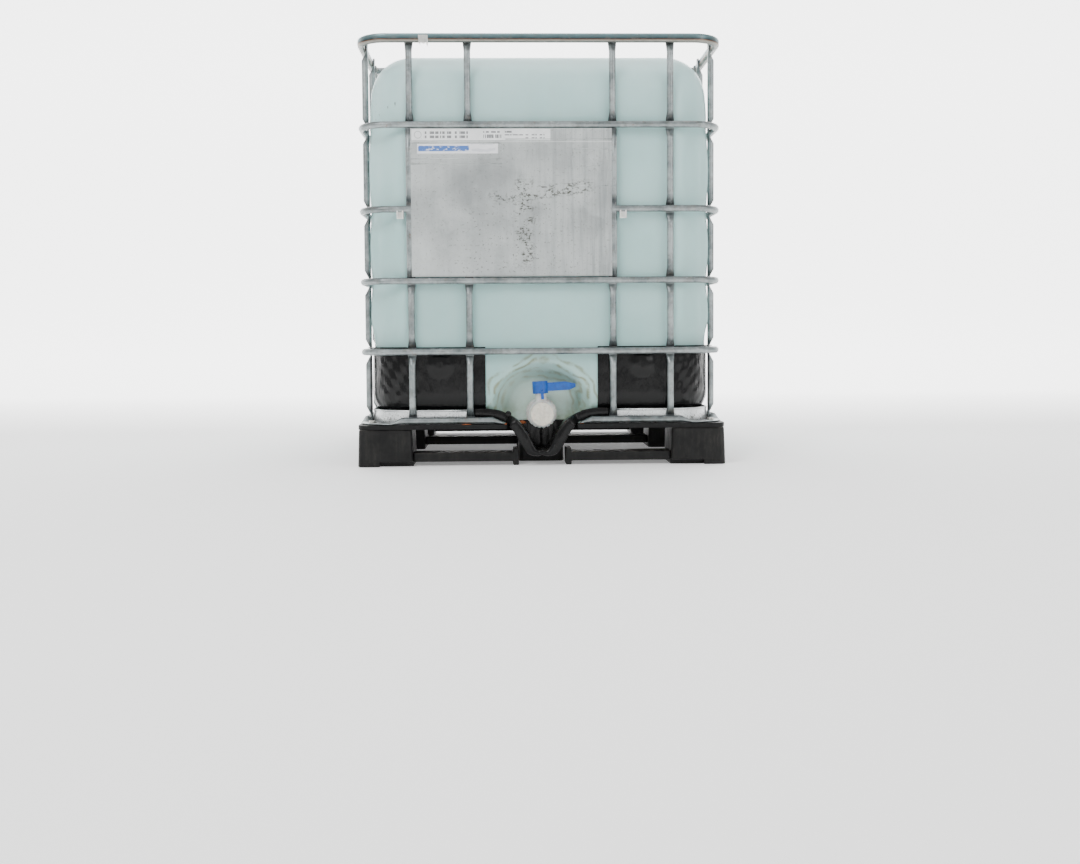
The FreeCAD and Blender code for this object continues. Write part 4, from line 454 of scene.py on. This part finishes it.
BOTTLE = blown_polyethylene()
TUBE = dipped_tube()
RING = weathered_ring_with_painted_reflection()
SHEET = bright_sheet()
PLATE = weathered_plate()
STEEL = plated_steel()
PALLET = moulded_black("moulded_black_pallet", 0.42, (0.34, 0.56), 0.5, 0.0)
DECK = moulded_black("moulded_black_deck", 0.06, (0.5, 0.7), 0.5, 0.0)
GUARD = moulded_black("thermoformed_black_guard", 0.10, (0.14, 0.24), 0.5, 1.0)
TROUGH = moulded_black("moulded_black_trough", 0.14, (0.16, 0.30), 0.5, 1.0)
VALVE = moulded_plastic("moulded_white_valve", "#c3c5c1", "#d6d8d4", (0.28, 0.42), "#8b8573", 0.25, 0.2)
CAP = moulded_plastic("moulded_ivory_cap", "#cbc6b9", "#dcd8cc", (0.28, 0.42), "#857a62", 0.35, 0.15)
LID = moulded_plastic("moulded_dark_lid", "#1d1f20", "#2a2c2e", (0.3, 0.46), "#7a776f", 0.3, 0.0)
BLUE = moulded_plastic("moulded_blue_handle", "#00408f", "#0056b4", (0.26, 0.4), "#1b4a82", 0.2, 0.05)
LINER = moulded_plastic("moulded_white_liner", "#d5d6d2", "#e4e4e0", (0.24, 0.36), "#a9a597", 0.1, 0.1)
RUBBER = seal_rubber()
DOCUMENT = document_film()
GRADE = grade_film()
TAPE = milky_tape()
RUST = rust_crust()
PAPER = seamless_paper()


# ---- making pieces ----

def solid_skin(name, points, faces):
    mesh = bpy.data.meshes.new(name)
    mesh.from_pydata([tuple(point) for point in points], [], faces)
    mesh.validate()
    work = bmesh.new()
    work.from_mesh(mesh)
    bmesh.ops.recalc_face_normals(work, faces=work.faces)
    work.to_mesh(mesh)
    work.free()
    mesh.polygons.foreach_set("use_smooth", [True] * len(mesh.polygons))
    mesh.update()
    return mesh


def fit(name, mesh, finish, body="container"):
    """Put a piece into the scene on its body, with its finish."""
    thing = bpy.data.objects.new(name, mesh)
    bpy.context.scene.collection.objects.link(thing)
    mesh.materials.clear()
    mesh.materials.append(finish)
    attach(thing, body)
    return thing


def coat(finish, *names):
    """Give CAD nodes their finish."""
    for name in names:
        if not NODES[name].material_slots:
            NODES[name].data.materials.append(finish)
        for slot in NODES[name].material_slots:
            slot.material = finish


def round_off(name, finish, radius, body="container", steps=2):
    """A copy of a moulding with its edges rounded, standing for the CAD node."""
    mesh = NODES[name].data.copy()
    work = bmesh.new()
    work.from_mesh(mesh)
    bmesh.ops.remove_doubles(work, verts=work.verts, dist=0.01 * MM)
    bmesh.ops.dissolve_limit(work, angle_limit=math.radians(1), verts=work.verts, edges=work.edges)
    work.to_mesh(mesh)
    work.free()
    mesh.polygons.foreach_set("use_smooth", [True] * len(mesh.polygons))
    mesh.set_sharp_from_angle(angle=math.radians(28))
    thing = fit(name + "_rounded", mesh, finish, body)
    edge = thing.modifiers.new("rounding", "BEVEL")
    edge.width = radius * MM
    edge.segments = steps
    edge.limit_method = "ANGLE"
    edge.angle_limit = math.radians(28)
    edge.harden_normals = True
    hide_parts(name)
    return thing


def sweep(name, path, section, finish, body="container"):
    """Carry a section along a path. section(share) gives its points as (sideways, upward) pairs."""
    points, faces = [], []
    count = len(path)
    for number, spot in enumerate(path):
        before = path[number - 1] if number else spot
        after = path[number + 1] if number < count - 1 else spot
        along = (Vector(after) - Vector(before)).normalized()
        side = along.cross(Vector((0, 0, 1)))
        if side.length < 0.01:
            side = Vector((0, 1, 0))
        side.normalize()
        rise = side.cross(along)
        points += [Vector(spot) + side * across + rise * up for across, up in section(number / (count - 1))]
    width = len(points) // count
    for number in range(count - 1):
        for step in range(width):
            turn = (step + 1) % width
            faces.append((number * width + step, number * width + turn,
                          (number + 1) * width + turn, (number + 1) * width + step))
    faces.append(tuple(range(width)))
    faces.append(tuple(range((count - 1) * width, count * width)))
    return fit(name, solid_skin(name, points, faces), finish, body)


def disc(radius, sides=10):
    """The outline of a round bar."""
    return [(radius * math.cos(math.tau * step / sides), radius * math.sin(math.tau * step / sides))
            for step in range(sides)]


def thread(name, start, along, radius, pitch, turns, thick, finish):
    """A round thread ridge whose ends taper away."""
    along = Vector(along)
    side = along.orthogonal().normalized()
    other = along.cross(side)
    steps = int(turns * 48)
    path = []
    for step in range(steps + 1):
        angle = math.tau * turns * step / steps
        path.append(Vector(start) + along * pitch * turns * step / steps
                    + radius * (side * math.cos(angle) + other * math.sin(angle)))
    return sweep(name, path, lambda share: disc(
        thick * min(1, 10 * share + 0.05, 10 * (1 - share) + 0.05), 6), finish)


# ---- bottle ----

BOTTLE_X, BOTTLE_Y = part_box("bottle")[1].x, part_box("bottle")[1].y
BOTTLE_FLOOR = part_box("guard_front_left")[0].z + 3 * MM
BOTTLE_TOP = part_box("bottle")[1].z
BOTTLE_CORNER, BOTTLE_SHOULDER, BOTTLE_HEEL = 120 * MM, 110 * MM, 80 * MM
RECESS_MOUTH, RECESS_SLOPE, RECESS_DEPTH = 148 * MM, 57 * MM, 72 * MM
NECK = 79 * MM


def ease(value):
    value = min(1, max(0, value))
    return value * value * (3 - 2 * value)


def between_bars(value, bars):
    """Nothing at a bar and one half-way to the next."""
    for low, high in zip(bars, bars[1:]):
        if low <= value <= high:
            return math.sin(math.pi * (value - low) / (high - low)) ** 0.8
    return 0.0


def swelling(point, out):
    """How far the full bottle swells out between the bars that hold it."""
    held = ease((point.z - 0.33) / 0.07) * ease((BOTTLE_TOP - BOTTLE_SHOULDER * 0.7 - point.z) / 0.13)
    ends_x, ends_y = BOTTLE_X - 60 * MM, BOTTLE_Y - 60 * MM
    bars = [-ends_x, *(FRONT_BARS if point.y < 0 else REAR_BARS), ends_x]
    flat_x, flat_y = abs(out.x) ** 4, abs(out.y) ** 4
    panel = flat_y * between_bars(point.x, bars)
    panel += flat_x * between_bars(point.y, [-ends_y, *SIDE_BARS, ends_y])
    return held * ((flat_x + flat_y) * 4 * MM + between_bars(point.z, RAIL_HEIGHTS) * panel * 11 * MM)


def drawn_in(z):
    """How far the skin draws in near the floor and near the top."""
    if z < BOTTLE_FLOOR + BOTTLE_HEEL:
        return BOTTLE_HEEL - math.sqrt(max(0, BOTTLE_HEEL ** 2 - (BOTTLE_FLOOR + BOTTLE_HEEL - z) ** 2))
    if z > BOTTLE_TOP - BOTTLE_SHOULDER:
        rise = z - BOTTLE_TOP + BOTTLE_SHOULDER
        return BOTTLE_SHOULDER - math.sqrt(max(0, BOTTLE_SHOULDER ** 2 - rise ** 2))
    return 0.0


def bottle_outline():
    """Places round the bottle: how far along each side, then how far round each corner."""
    spots = []
    for side in range(4):
        count = (150, 96, 66, 96)[side]
        spots += [("side", side, step / count) for step in range(count)]
        spots += [("corner", side, step / 14) for step in range(14)]
    return spots


def outline_point(spot, z):
    kind, side, share = spot
    inward = drawn_in(z)
    corner = max(BOTTLE_CORNER - inward, 10 * MM)
    out = Vector(((0, -1), (1, 0), (0, 1), (-1, 0))[side] + (0,))
    along = Vector((-out.y, out.x, 0))
    across, reach = (BOTTLE_X, BOTTLE_Y) if side % 2 == 0 else (BOTTLE_Y, BOTTLE_X)
    across, reach = across - inward, reach - inward
    if kind == "side":
        point = out * reach + along * (2 * share - 1) * (across - corner)
        facing = out
    else:
        angle = share * math.pi / 2
        facing = out * math.cos(angle) + along * math.sin(angle)
        point = out * (reach - corner) + along * (across - corner) + facing * corner
    point.z = z
    return point, facing


def make_bottle():
    """One skin: heel, swollen sides, shoulder and crown, with the dished recess for the valve."""
    spots = bottle_outline()
    heights = [BOTTLE_FLOOR + BOTTLE_HEEL * (1 - math.cos(math.radians(angle))) for angle in range(0, 90, 8)]
    z = BOTTLE_FLOOR + BOTTLE_HEEL
    while z < BOTTLE_TOP - BOTTLE_SHOULDER:
        heights.append(z)
        z += (4 if z < 0.30 else 11) * MM
    heights += [BOTTLE_TOP - BOTTLE_SHOULDER + BOTTLE_SHOULDER * math.sin(math.radians(angle))
                for angle in range(0, 91, 6)]
    points, rows = [], []

    def add_row(row):
        rows.append(range(len(points), len(points) + len(row)))
        points.extend(row)

    for z in heights:
        row = []
        for spot in spots:
            point, facing = outline_point(spot, z)
            point += facing * swelling(point, facing)
            if spot[:2] == ("side", 0):
                away = math.hypot(point.x, z - VALVE_Z)
                dish = RECESS_DEPTH * ease((RECESS_MOUTH - away) / RECESS_SLOPE)
                point.y = max(point.y, dish - BOTTLE_Y)
            row.append(point)
        add_row(row)
    # The crown runs in to the neck with shallow pressed channels between flat lands.
    edge = [points[index] for index in rows[-1]]
    for share in (0.08, 0.16, 0.25, 0.36, 0.48, 0.6, 0.72, 0.82, 0.9, 0.95, 1.0):
        row = []
        for start in edge:
            angle = math.atan2(start.y, start.x)
            rim = Vector((NECK * math.cos(angle), NECK * math.sin(angle), BOTTLE_TOP))
            channel = ease(4 * math.cos(4 * angle) - 2) * ease(6 * share - 0.5) * ease(6 * (1 - share) - 0.6)
            row.append(start.lerp(rim, share) - Vector((0, 0, 6 * MM * channel)))
        add_row(row)
    faces = []
    for low, high in zip(rows, rows[1:]):
        for number in range(len(spots)):
            turn = (number + 1) % len(spots)
            faces.append((low[number], low[turn], high[turn], high[number]))
    faces.append(tuple(reversed(rows[0])))
    skin = fit("bottle_skin", solid_skin("bottle_skin", points, faces), BOTTLE)
    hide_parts("bottle")


def make_outlet_neck():
    """The bottle's outlet neck, a short tube with rounded lips."""
    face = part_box("neck_gasket")[1].y
    profile = [(31, 22), (31, 1), (30, 0.2), (25, 0.2), (24, 1), (24, 40)]
    points, faces, steps = [], [], 64
    for radius, back in profile:
        for step in range(steps):
            angle = math.tau * step / steps
            points.append((radius * MM * math.cos(angle), face + back * MM,
                           VALVE_Z + radius * MM * math.sin(angle)))
    for ring in range(len(profile) - 1):
        for step in range(steps):
            turn = (step + 1) % steps
            faces.append((ring * steps + step, ring * steps + turn,
                          (ring + 1) * steps + turn, (ring + 1) * steps + step))
    fit("outlet_neck", solid_skin("outlet_neck", points, faces), BOTTLE)


# ---- trough ----

def curve_through(marks, steps):
    """A smooth run through rows of numbers."""
    rows = [marks[0], *marks, marks[-1]]
    run = []
    for first, second, third, fourth in zip(rows, rows[1:], rows[2:], rows[3:]):
        for step in range(steps):
            t = step / steps
            run.append([0.5 * (2 * b + (c - a) * t + (2 * a - 5 * b + 4 * c - d) * t ** 2
                               + (3 * b - a - 3 * c + d) * t ** 3)
                        for a, b, c, d in zip(first, second, third, fourth)])
    run.append(list(marks[-1]))
    return run


def make_trough():
    """The moulded channel: one thick rim that runs from wing to wing and dips under the valve."""
    low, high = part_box("spout_trough")
    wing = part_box("base_pan")[0].y
    half = (
        # middle of the rim: across, height; half its thickness; its front and back faces
        (0, 36, 7, low.y, high.y), (14, 34, 8, low.y, high.y), (32, 44, 14, low.y, high.y),
        (47, 70, 16, low.y, high.y), (61, 94, 15, low.y, high.y), (79, 116, 14, low.y, -0.54),
        (98, 129, 12.5, wing, wing + 4 * MM), (122, 138, 13, wing, wing + 4 * MM),
        (152, 143, 12, wing, wing + 4 * MM), (184, 144, 10, wing, wing + 4 * MM),
    )
    marks = [(-across, *rest) for across, *rest in reversed(half[1:])] + [list(row) for row in half]
    run = curve_through(marks, 6)
    points, faces = [], []
    for number, (across, height, thick, front, back) in enumerate(run):
        before, after = run[max(0, number - 1)], run[min(len(run) - 1, number + 1)]
        along = Vector((after[0] - before[0], 0, after[1] - before[1])).normalized()
        inward = Vector((-along.z, 0, along.x))
        front, back = max(low.y, min(front, wing)), min(high.y, max(back, wing + 4 * MM))
        edge = min(5 * MM, thick * MM * 0.6, (back - front) / 2.2)
        reach = thick * MM
        for side, y in ((-reach, back), (-reach, front + edge), (-reach + edge * 0.3, front + edge * 0.3),
                        (-reach + edge, front), (reach - edge, front),
                        (reach - edge * 0.3, front + edge * 0.3), (reach, front + edge), (reach, back)):
            points.append(Vector((across * MM, y, height * MM)) + inward * side)
    width = 8
    for number in range(len(run) - 1):
        for step in range(width):
            turn = (step + 1) % width
            faces.append((number * width + step, number * width + turn,
                          (number + 1) * width + turn, (number + 1) * width + step))
    faces += [tuple(range(width)), tuple(range((len(run) - 1) * width, len(run) * width))]
    channel = fit("trough_channel", solid_skin("trough_channel", points, faces), TROUGH)
    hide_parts("spout_trough")
    inner = [row for row in run if abs(row[0]) <= 84]
    outline = [(row[0] * MM, row[1] * MM) for row in inner]
    rim = len(outline)
    back = [Vector((x, y, z)) for y in (high.y - 9 * MM, high.y) for x, z in outline]
    faces = [tuple(range(rim)), tuple(range(2 * rim - 1, rim - 1, -1))]
    faces += [(step, (step + 1) % rim, rim + (step + 1) % rim, rim + step) for step in range(rim)]
    wall = fit("trough_back_wall", solid_skin("trough_back_wall", back, faces), TROUGH)
    wall.data.set_sharp_from_angle(angle=math.radians(40))
    rib_y = high.y - 11 * MM
    sweep("trough_rib", [(0, rib_y, (36 + 5 * step) * MM) for step in range(14)],
          lambda share: disc(3.2 * MM), TROUGH)
    sweep("trough_floor_rib", [(0, low.y + (4 + 10 * step) * MM, 36.5 * MM) for step in range(12)],
          lambda share: disc(2.4 * MM), TROUGH)
    path = [(-0.092, wing - depth * MM, 0.140) for depth in (-1, 4, 7, 8.2)]
    sweep("collar_plug", path, lambda share: disc((8.5 if share < 0.7 else 5.5) * MM, 20), TROUGH)


# ---- guards ----

def make_guard(name, side, end):
    """A thermoformed corner guard: it follows the bottle, rounds in at the heel, and has creases."""
    low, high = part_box(name)
    inner_x, inner_y = min(abs(low.x), abs(high.x)), min(abs(low.y), abs(high.y))
    face_x, face_y = BOTTLE_X + 3.4 * MM, BOTTLE_Y + 3.4 * MM
    corner = BOTTLE_CORNER
    flat, flank = face_x - corner - inner_x, face_y - corner - inner_y
    path = [(inner_x + flat * step / 36, face_y, 0, 1) for step in range(36)]
    path += [(face_x - corner + corner * math.sin(math.radians(90 * step / 30)),
              face_y - corner + corner * math.cos(math.radians(90 * step / 30)),
              math.sin(math.radians(90 * step / 30)), math.cos(math.radians(90 * step / 30)))
             for step in range(30)]
    path += [(face_x, face_y - corner - flank * step / 30, 1, 0) for step in range(31)]
    levels = 40
    points, faces = [], []
    for x, y, out_x, out_y in path:
        for level in range(levels + 1):
            z = low.z + 1 * MM + (high.z - low.z - 2 * MM) * level / levels
            inward = drawn_in(z)
            swell = between_bars(z, RAIL_HEIGHTS) * between_bars(-y, SIDE_BARS) * out_x ** 4
            boss = ease(1.5 - math.hypot(x - 0.276, z - 0.275) / (25 * MM)) if out_y > 0.9 else 0
            fold_x = (x - 0.405) * 16
            crease = abs(math.sin(34 * z + 4 * fold_x)) + 0.5 * abs(math.sin(90 * z - 7 * fold_x + 2))
            crease = (crease - 0.5) * math.exp(-fold_x ** 2 * 1.6) * out_y
            top = ease((high.z - z) / (60 * MM)) * ease((z - low.z - 30 * MM) / (50 * MM))
            step_out = boss * 6 * MM + crease * 3.4 * MM * top + swell * 9 * MM - inward
            points.append((side * (x + out_x * step_out), end * (y + out_y * step_out), z))
    for number in range(len(path) - 1):
        for level in range(levels):
            first = number * (levels + 1) + level
            faces.append((first, first + 1, first + levels + 2, first + levels + 1))
    skin = fit(name + "_skin", solid_skin(name + "_skin", points, faces), GUARD)
    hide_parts(name)
    lip = []
    for x, y, out_x, out_y in path:
        if x > 0.366 and y > 0.486:
            lip.append((side * (x + out_x * 9 * MM), end * (y + out_y * 9 * MM), high.z - 1.4 * MM))
    flap = [(-10.5 * MM, -1.2 * MM), (10.5 * MM, -1.2 * MM), (10.5 * MM, 1.2 * MM), (-10.5 * MM, 1.2 * MM)]
    sweep(name + "_lip", lip, lambda share: flap, GUARD)


# ---- cage details ----

def round_run(half_x, half_y, corner, z, steps=10, gap=None):
    """Points round a rectangle with round corners, from the front's middle or from a gap's edge."""
    points = []
    for centre_x, centre_y, first in ((half_x - corner, corner - half_y, -90),
                                      (half_x - corner, half_y - corner, 0),
                                      (corner - half_x, half_y - corner, 90),
                                      (corner - half_x, corner - half_y, 180)):
        for step in range(steps + 1):
            angle = math.radians(first + 90 * step / steps)
            points.append((centre_x + corner * math.cos(angle), centre_y + corner * math.sin(angle), z))
    if gap:
        points = [(gap, -half_y, z), *points, (-gap, -half_y, z)]
    return points


def make_pan_rim():
    """The pan's rolled upper edge."""
    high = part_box("base_pan")[1]
    radius = 2.6 * MM
    path = round_run(high.x - 1.0 * MM, high.y - 1.0 * MM, 124 * MM, high.z - radius, 12, 188 * MM)
    sweep("pan_rolled_rim", path, lambda share: disc(radius), SHEET)


def make_plate_folds():
    """The plate's side edges, folded round the uprights beside it."""
    low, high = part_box("label_plate")
    for name, x in (("left", low.x + 7 * MM), ("right", high.x - 7 * MM)):
        path = [(x, low.y + 6 * MM, low.z + step * (high.z - low.z) / 6) for step in range(7)]
        sweep("plate_fold_" + name, path, lambda share: disc(8 * MM, 16), TUBE)


def make_pressings():
    """Raised lines pressed into the plate: a label frame, two bars and a framed blank field."""
    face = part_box("label_plate")[0].y + 0.8 * MM
    runs = (
        ((-0.352, 0.8275), (-0.105, 0.8275)), ((-0.352, 0.814), (-0.105, 0.814)),
        ((-0.352, 0.8275), (-0.352, 0.814)), ((-0.105, 0.8275), (-0.105, 0.814)),
        ((-0.340, 0.870), (-0.110, 0.870)), ((-0.110, 0.870), (-0.099, 0.856)),
        ((-0.099, 0.856), (-0.106, 0.839)), ((-0.340, 0.870), (-0.352, 0.856)),
        ((-0.352, 0.856), (-0.345, 0.839)), ((-0.094, 0.8795), (0.192, 0.8795)),
        ((0.087, 0.853), (0.182, 0.853)), ((0.087, 0.755), (0.182, 0.755)),
        ((0.087, 0.853), (0.087, 0.755)), ((0.182, 0.853), (0.182, 0.755)),
        ((0.114, 0.808), (0.160, 0.808)), ((0.130, 0.826), (0.144, 0.826)),
    )
    for number, ((x, z), (end_x, end_z)) in enumerate(runs):
        path = [(x, face, z), (end_x, face, end_z)]
        sweep(f"plate_pressing_{number}", path, lambda share: disc(1.4 * MM, 8), PLATE)


def make_tape():
    """A torn strip of packing tape round the ring, with two loose tails."""
    low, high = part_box("ring_top")
    for number, (x, width, drop) in enumerate(((-0.312, 15, 6), (-0.302, 6, 12), (-0.322, 5, 9))):
        path = [(x, low.y + 19 * MM, high.z - 0.1 * MM), (x, low.y + 6 * MM, high.z - 0.1 * MM),
                (x + 0.5 * MM, low.y - 0.4 * MM, high.z - 6 * MM),
                (x + 1 * MM, low.y - 1.0 * MM, high.z - 16 * MM),
                (x + 2 * MM, low.y - 1.5 * MM, low.z - 0.3 * drop * MM),
                (x + 3 * MM, low.y - 0.5 * MM, low.z - drop * MM)]
        half = width * MM / 2
        points, faces = [], []
        for step, (px, py, pz) in enumerate(path):
            taper = 1 if step < len(path) - 1 else 0.15
            points += [(px - half * taper, py, pz), (px + half * taper, py, pz)]
        faces = [(2 * step, 2 * step + 1, 2 * step + 3, 2 * step + 2) for step in range(len(path) - 1)]
        fit(f"torn_tape_{number}", solid_skin(f"torn_tape_{number}", points, faces), TAPE)


def make_crust():
    """A crumb of rust in the trough and two under the ends of the base rail."""
    rail = middle("rail_base").z
    spots = ((-0.052, -0.5, 0.112, 11, 5), (-0.205, -0.592, rail - 10 * MM, 13, 2),
             (-0.1, -0.59, rail - 10 * MM, 3, 3), (0.108, -0.59, rail - 10 * MM, 4, 4))
    for number, (x, y, z, across, tall) in enumerate(spots):
        work = bmesh.new()
        bmesh.ops.create_icosphere(work, subdivisions=2, radius=1.0)
        for vert in work.verts:
            lump = 1 + 0.25 * math.sin(5 * vert.co.x + 3 * vert.co.z + number) * math.cos(4 * vert.co.y)
            vert.co = Vector((vert.co.x * across * MM * lump + x, vert.co.y * 4 * MM * lump + y,
                              vert.co.z * tall * MM * lump + z))
        mesh = bpy.data.meshes.new(f"rust_crumb_{number}")
        work.to_mesh(mesh)
        work.free()
        mesh.polygons.foreach_set("use_smooth", [True] * len(mesh.polygons))
        fit(f"rust_crumb_{number}", mesh, RUST)


make_bottle()
make_outlet_neck()
make_trough()
make_pan_rim()
make_plate_folds()
make_pressings()
make_tape()
make_crust()
for along, side in (("left", -1), ("right", 1)):
    make_guard("guard_front_" + along, side, -1)
    make_guard("guard_rear_" + along, side, 1)

thread("spout_thread", (0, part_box("cap_gasket")[1].y + 16 * MM, VALVE_Z), (0, -1, 0), 27 * MM, 6 * MM, 2.1,
       1.7 * MM, VALVE)
thread("neck_thread", (0, 0, BOTTLE_TOP + 4 * MM), (0, 0, 1), 80 * MM, 7 * MM, 1.6, 2.4 * MM, BOTTLE)

coat(RING, "ring_top")
coat(TUBE, "hoop_upper", "hoop_middle", "hoop_lower", "hoop_guard", "rail_base", "cross_bars",
     *[name for name in NODES if name.startswith("upright")])
coat(SHEET, "base_pan")
coat(PLATE, "label_plate")
coat(STEEL, "cage_bolts", "cross_bar_screws", "handle_screw", "valve_stem")
coat(RUBBER, "neck_gasket", "lid_gasket", "cap_gasket", "stem_seal")
coat(LINER, "seat_liner", "valve_flap", "rail_clips")
coat(DOCUMENT, "document_label")
coat(GRADE, "grade_label")
coat(BOTTLE, "neck_ring")

for part in sorted(NODES):
    if part.startswith(("foot_", "runner_")):
        round_off(part, PALLET, 3)
round_off("pallet_deck", DECK, 1)
round_off("valve_body", VALVE, 1.2)
round_off("union_nut", VALVE, 0.8)
round_off("valve_handle", BLUE, 1.6, "valve_turner", 3)
round_off("outlet_cap", CAP, 0.5, "cap")
round_off("fill_lid", LID, 0.9, "lid")


# ---- stage, light and camera ----

def make_stage():
    """A sweep of paper: floor, a wide curve and a wall."""
    profile = [(-12.0, 0.0), (3.5, 0.0)]
    profile += [(3.5 + 2.5 * math.sin(math.radians(angle)), 2.5 - 2.5 * math.cos(math.radians(angle)))
                for angle in range(5, 91, 5)]
    profile.append((6.0, 8.0))
    points = [(side * 12, y, z) for y, z in profile for side in (-1, 1)]
    faces = [(2 * row, 2 * row + 1, 2 * row + 3, 2 * row + 2) for row in range(len(profile) - 1)]
    sweep_of_paper = bpy.data.objects.new("paper_sweep", solid_skin("paper_sweep", points, faces))
    sweep_of_paper.data.materials.append(PAPER)
    bpy.context.scene.collection.objects.link(sweep_of_paper)


def hang_softbox(name, place, aim, size, power):
    lamp = bpy.data.lights.new(name, "AREA")
    lamp.shape = "RECTANGLE"
    lamp.size, lamp.size_y = size
    lamp.energy = power
    box = bpy.data.objects.new(name, lamp)
    box.location = place
    box.rotation_euler = (Vector(aim) - Vector(place)).to_track_quat("-Z", "Y").to_euler()
    bpy.context.scene.collection.objects.link(box)


def make_light():
    world = bpy.data.worlds.new("studio")
    bpy.context.scene.world = world
    world.use_nodes = True
    tree = world.node_tree
    tree.nodes.clear()
    height = add(tree, "SeparateXYZ", None, {0: add(tree, "TexCoord").outputs["Generated"]}).outputs[2]
    sky = add(tree, "ValToRGB", {"stops": ((0.0, "#e9ebeb"), (0.6, "#ffffff"))}, {0: height})
    light = add(tree, "Background", None, {"Color": sky, "Strength": 0.85})
    add(tree, "OutputWorld", None, {"Surface": light})
    hang_softbox("key", (-2.6, -4.4, 4.2), (0, 0, 0.6), (2.4, 2.4), 190)
    hang_softbox("fill", (3.6, -3.8, 2.0), (0, 0, 0.5), (2.0, 2.0), 60)
    hang_softbox("crown", (0, 0.3, 4.6), (0, 0, 0), (3.0, 3.0), 130)
    hang_softbox("back", (0.5, 4.2, 3.0), (0, 0, 0.8), (4.0, 2.0), 60)


def make_camera():
    lens = bpy.data.cameras.new("camera")
    lens.lens = 40.75
    lens.sensor_width = 36.0
    lens.shift_y = -0.029
    view = bpy.data.objects.new("camera", lens)
    view.location = (-0.107, -3.9, 0.35)
    turn = (Matrix.Rotation(math.radians(-1.75), 4, "Z") @ Matrix.Rotation(math.radians(90 - 3.0), 4, "X")
            @ Matrix.Rotation(math.radians(-0.4), 4, "Z"))
    view.rotation_euler = turn.to_euler()
    bpy.context.scene.collection.objects.link(view)
    bpy.context.scene.camera = view


make_stage()
make_light()
make_camera()
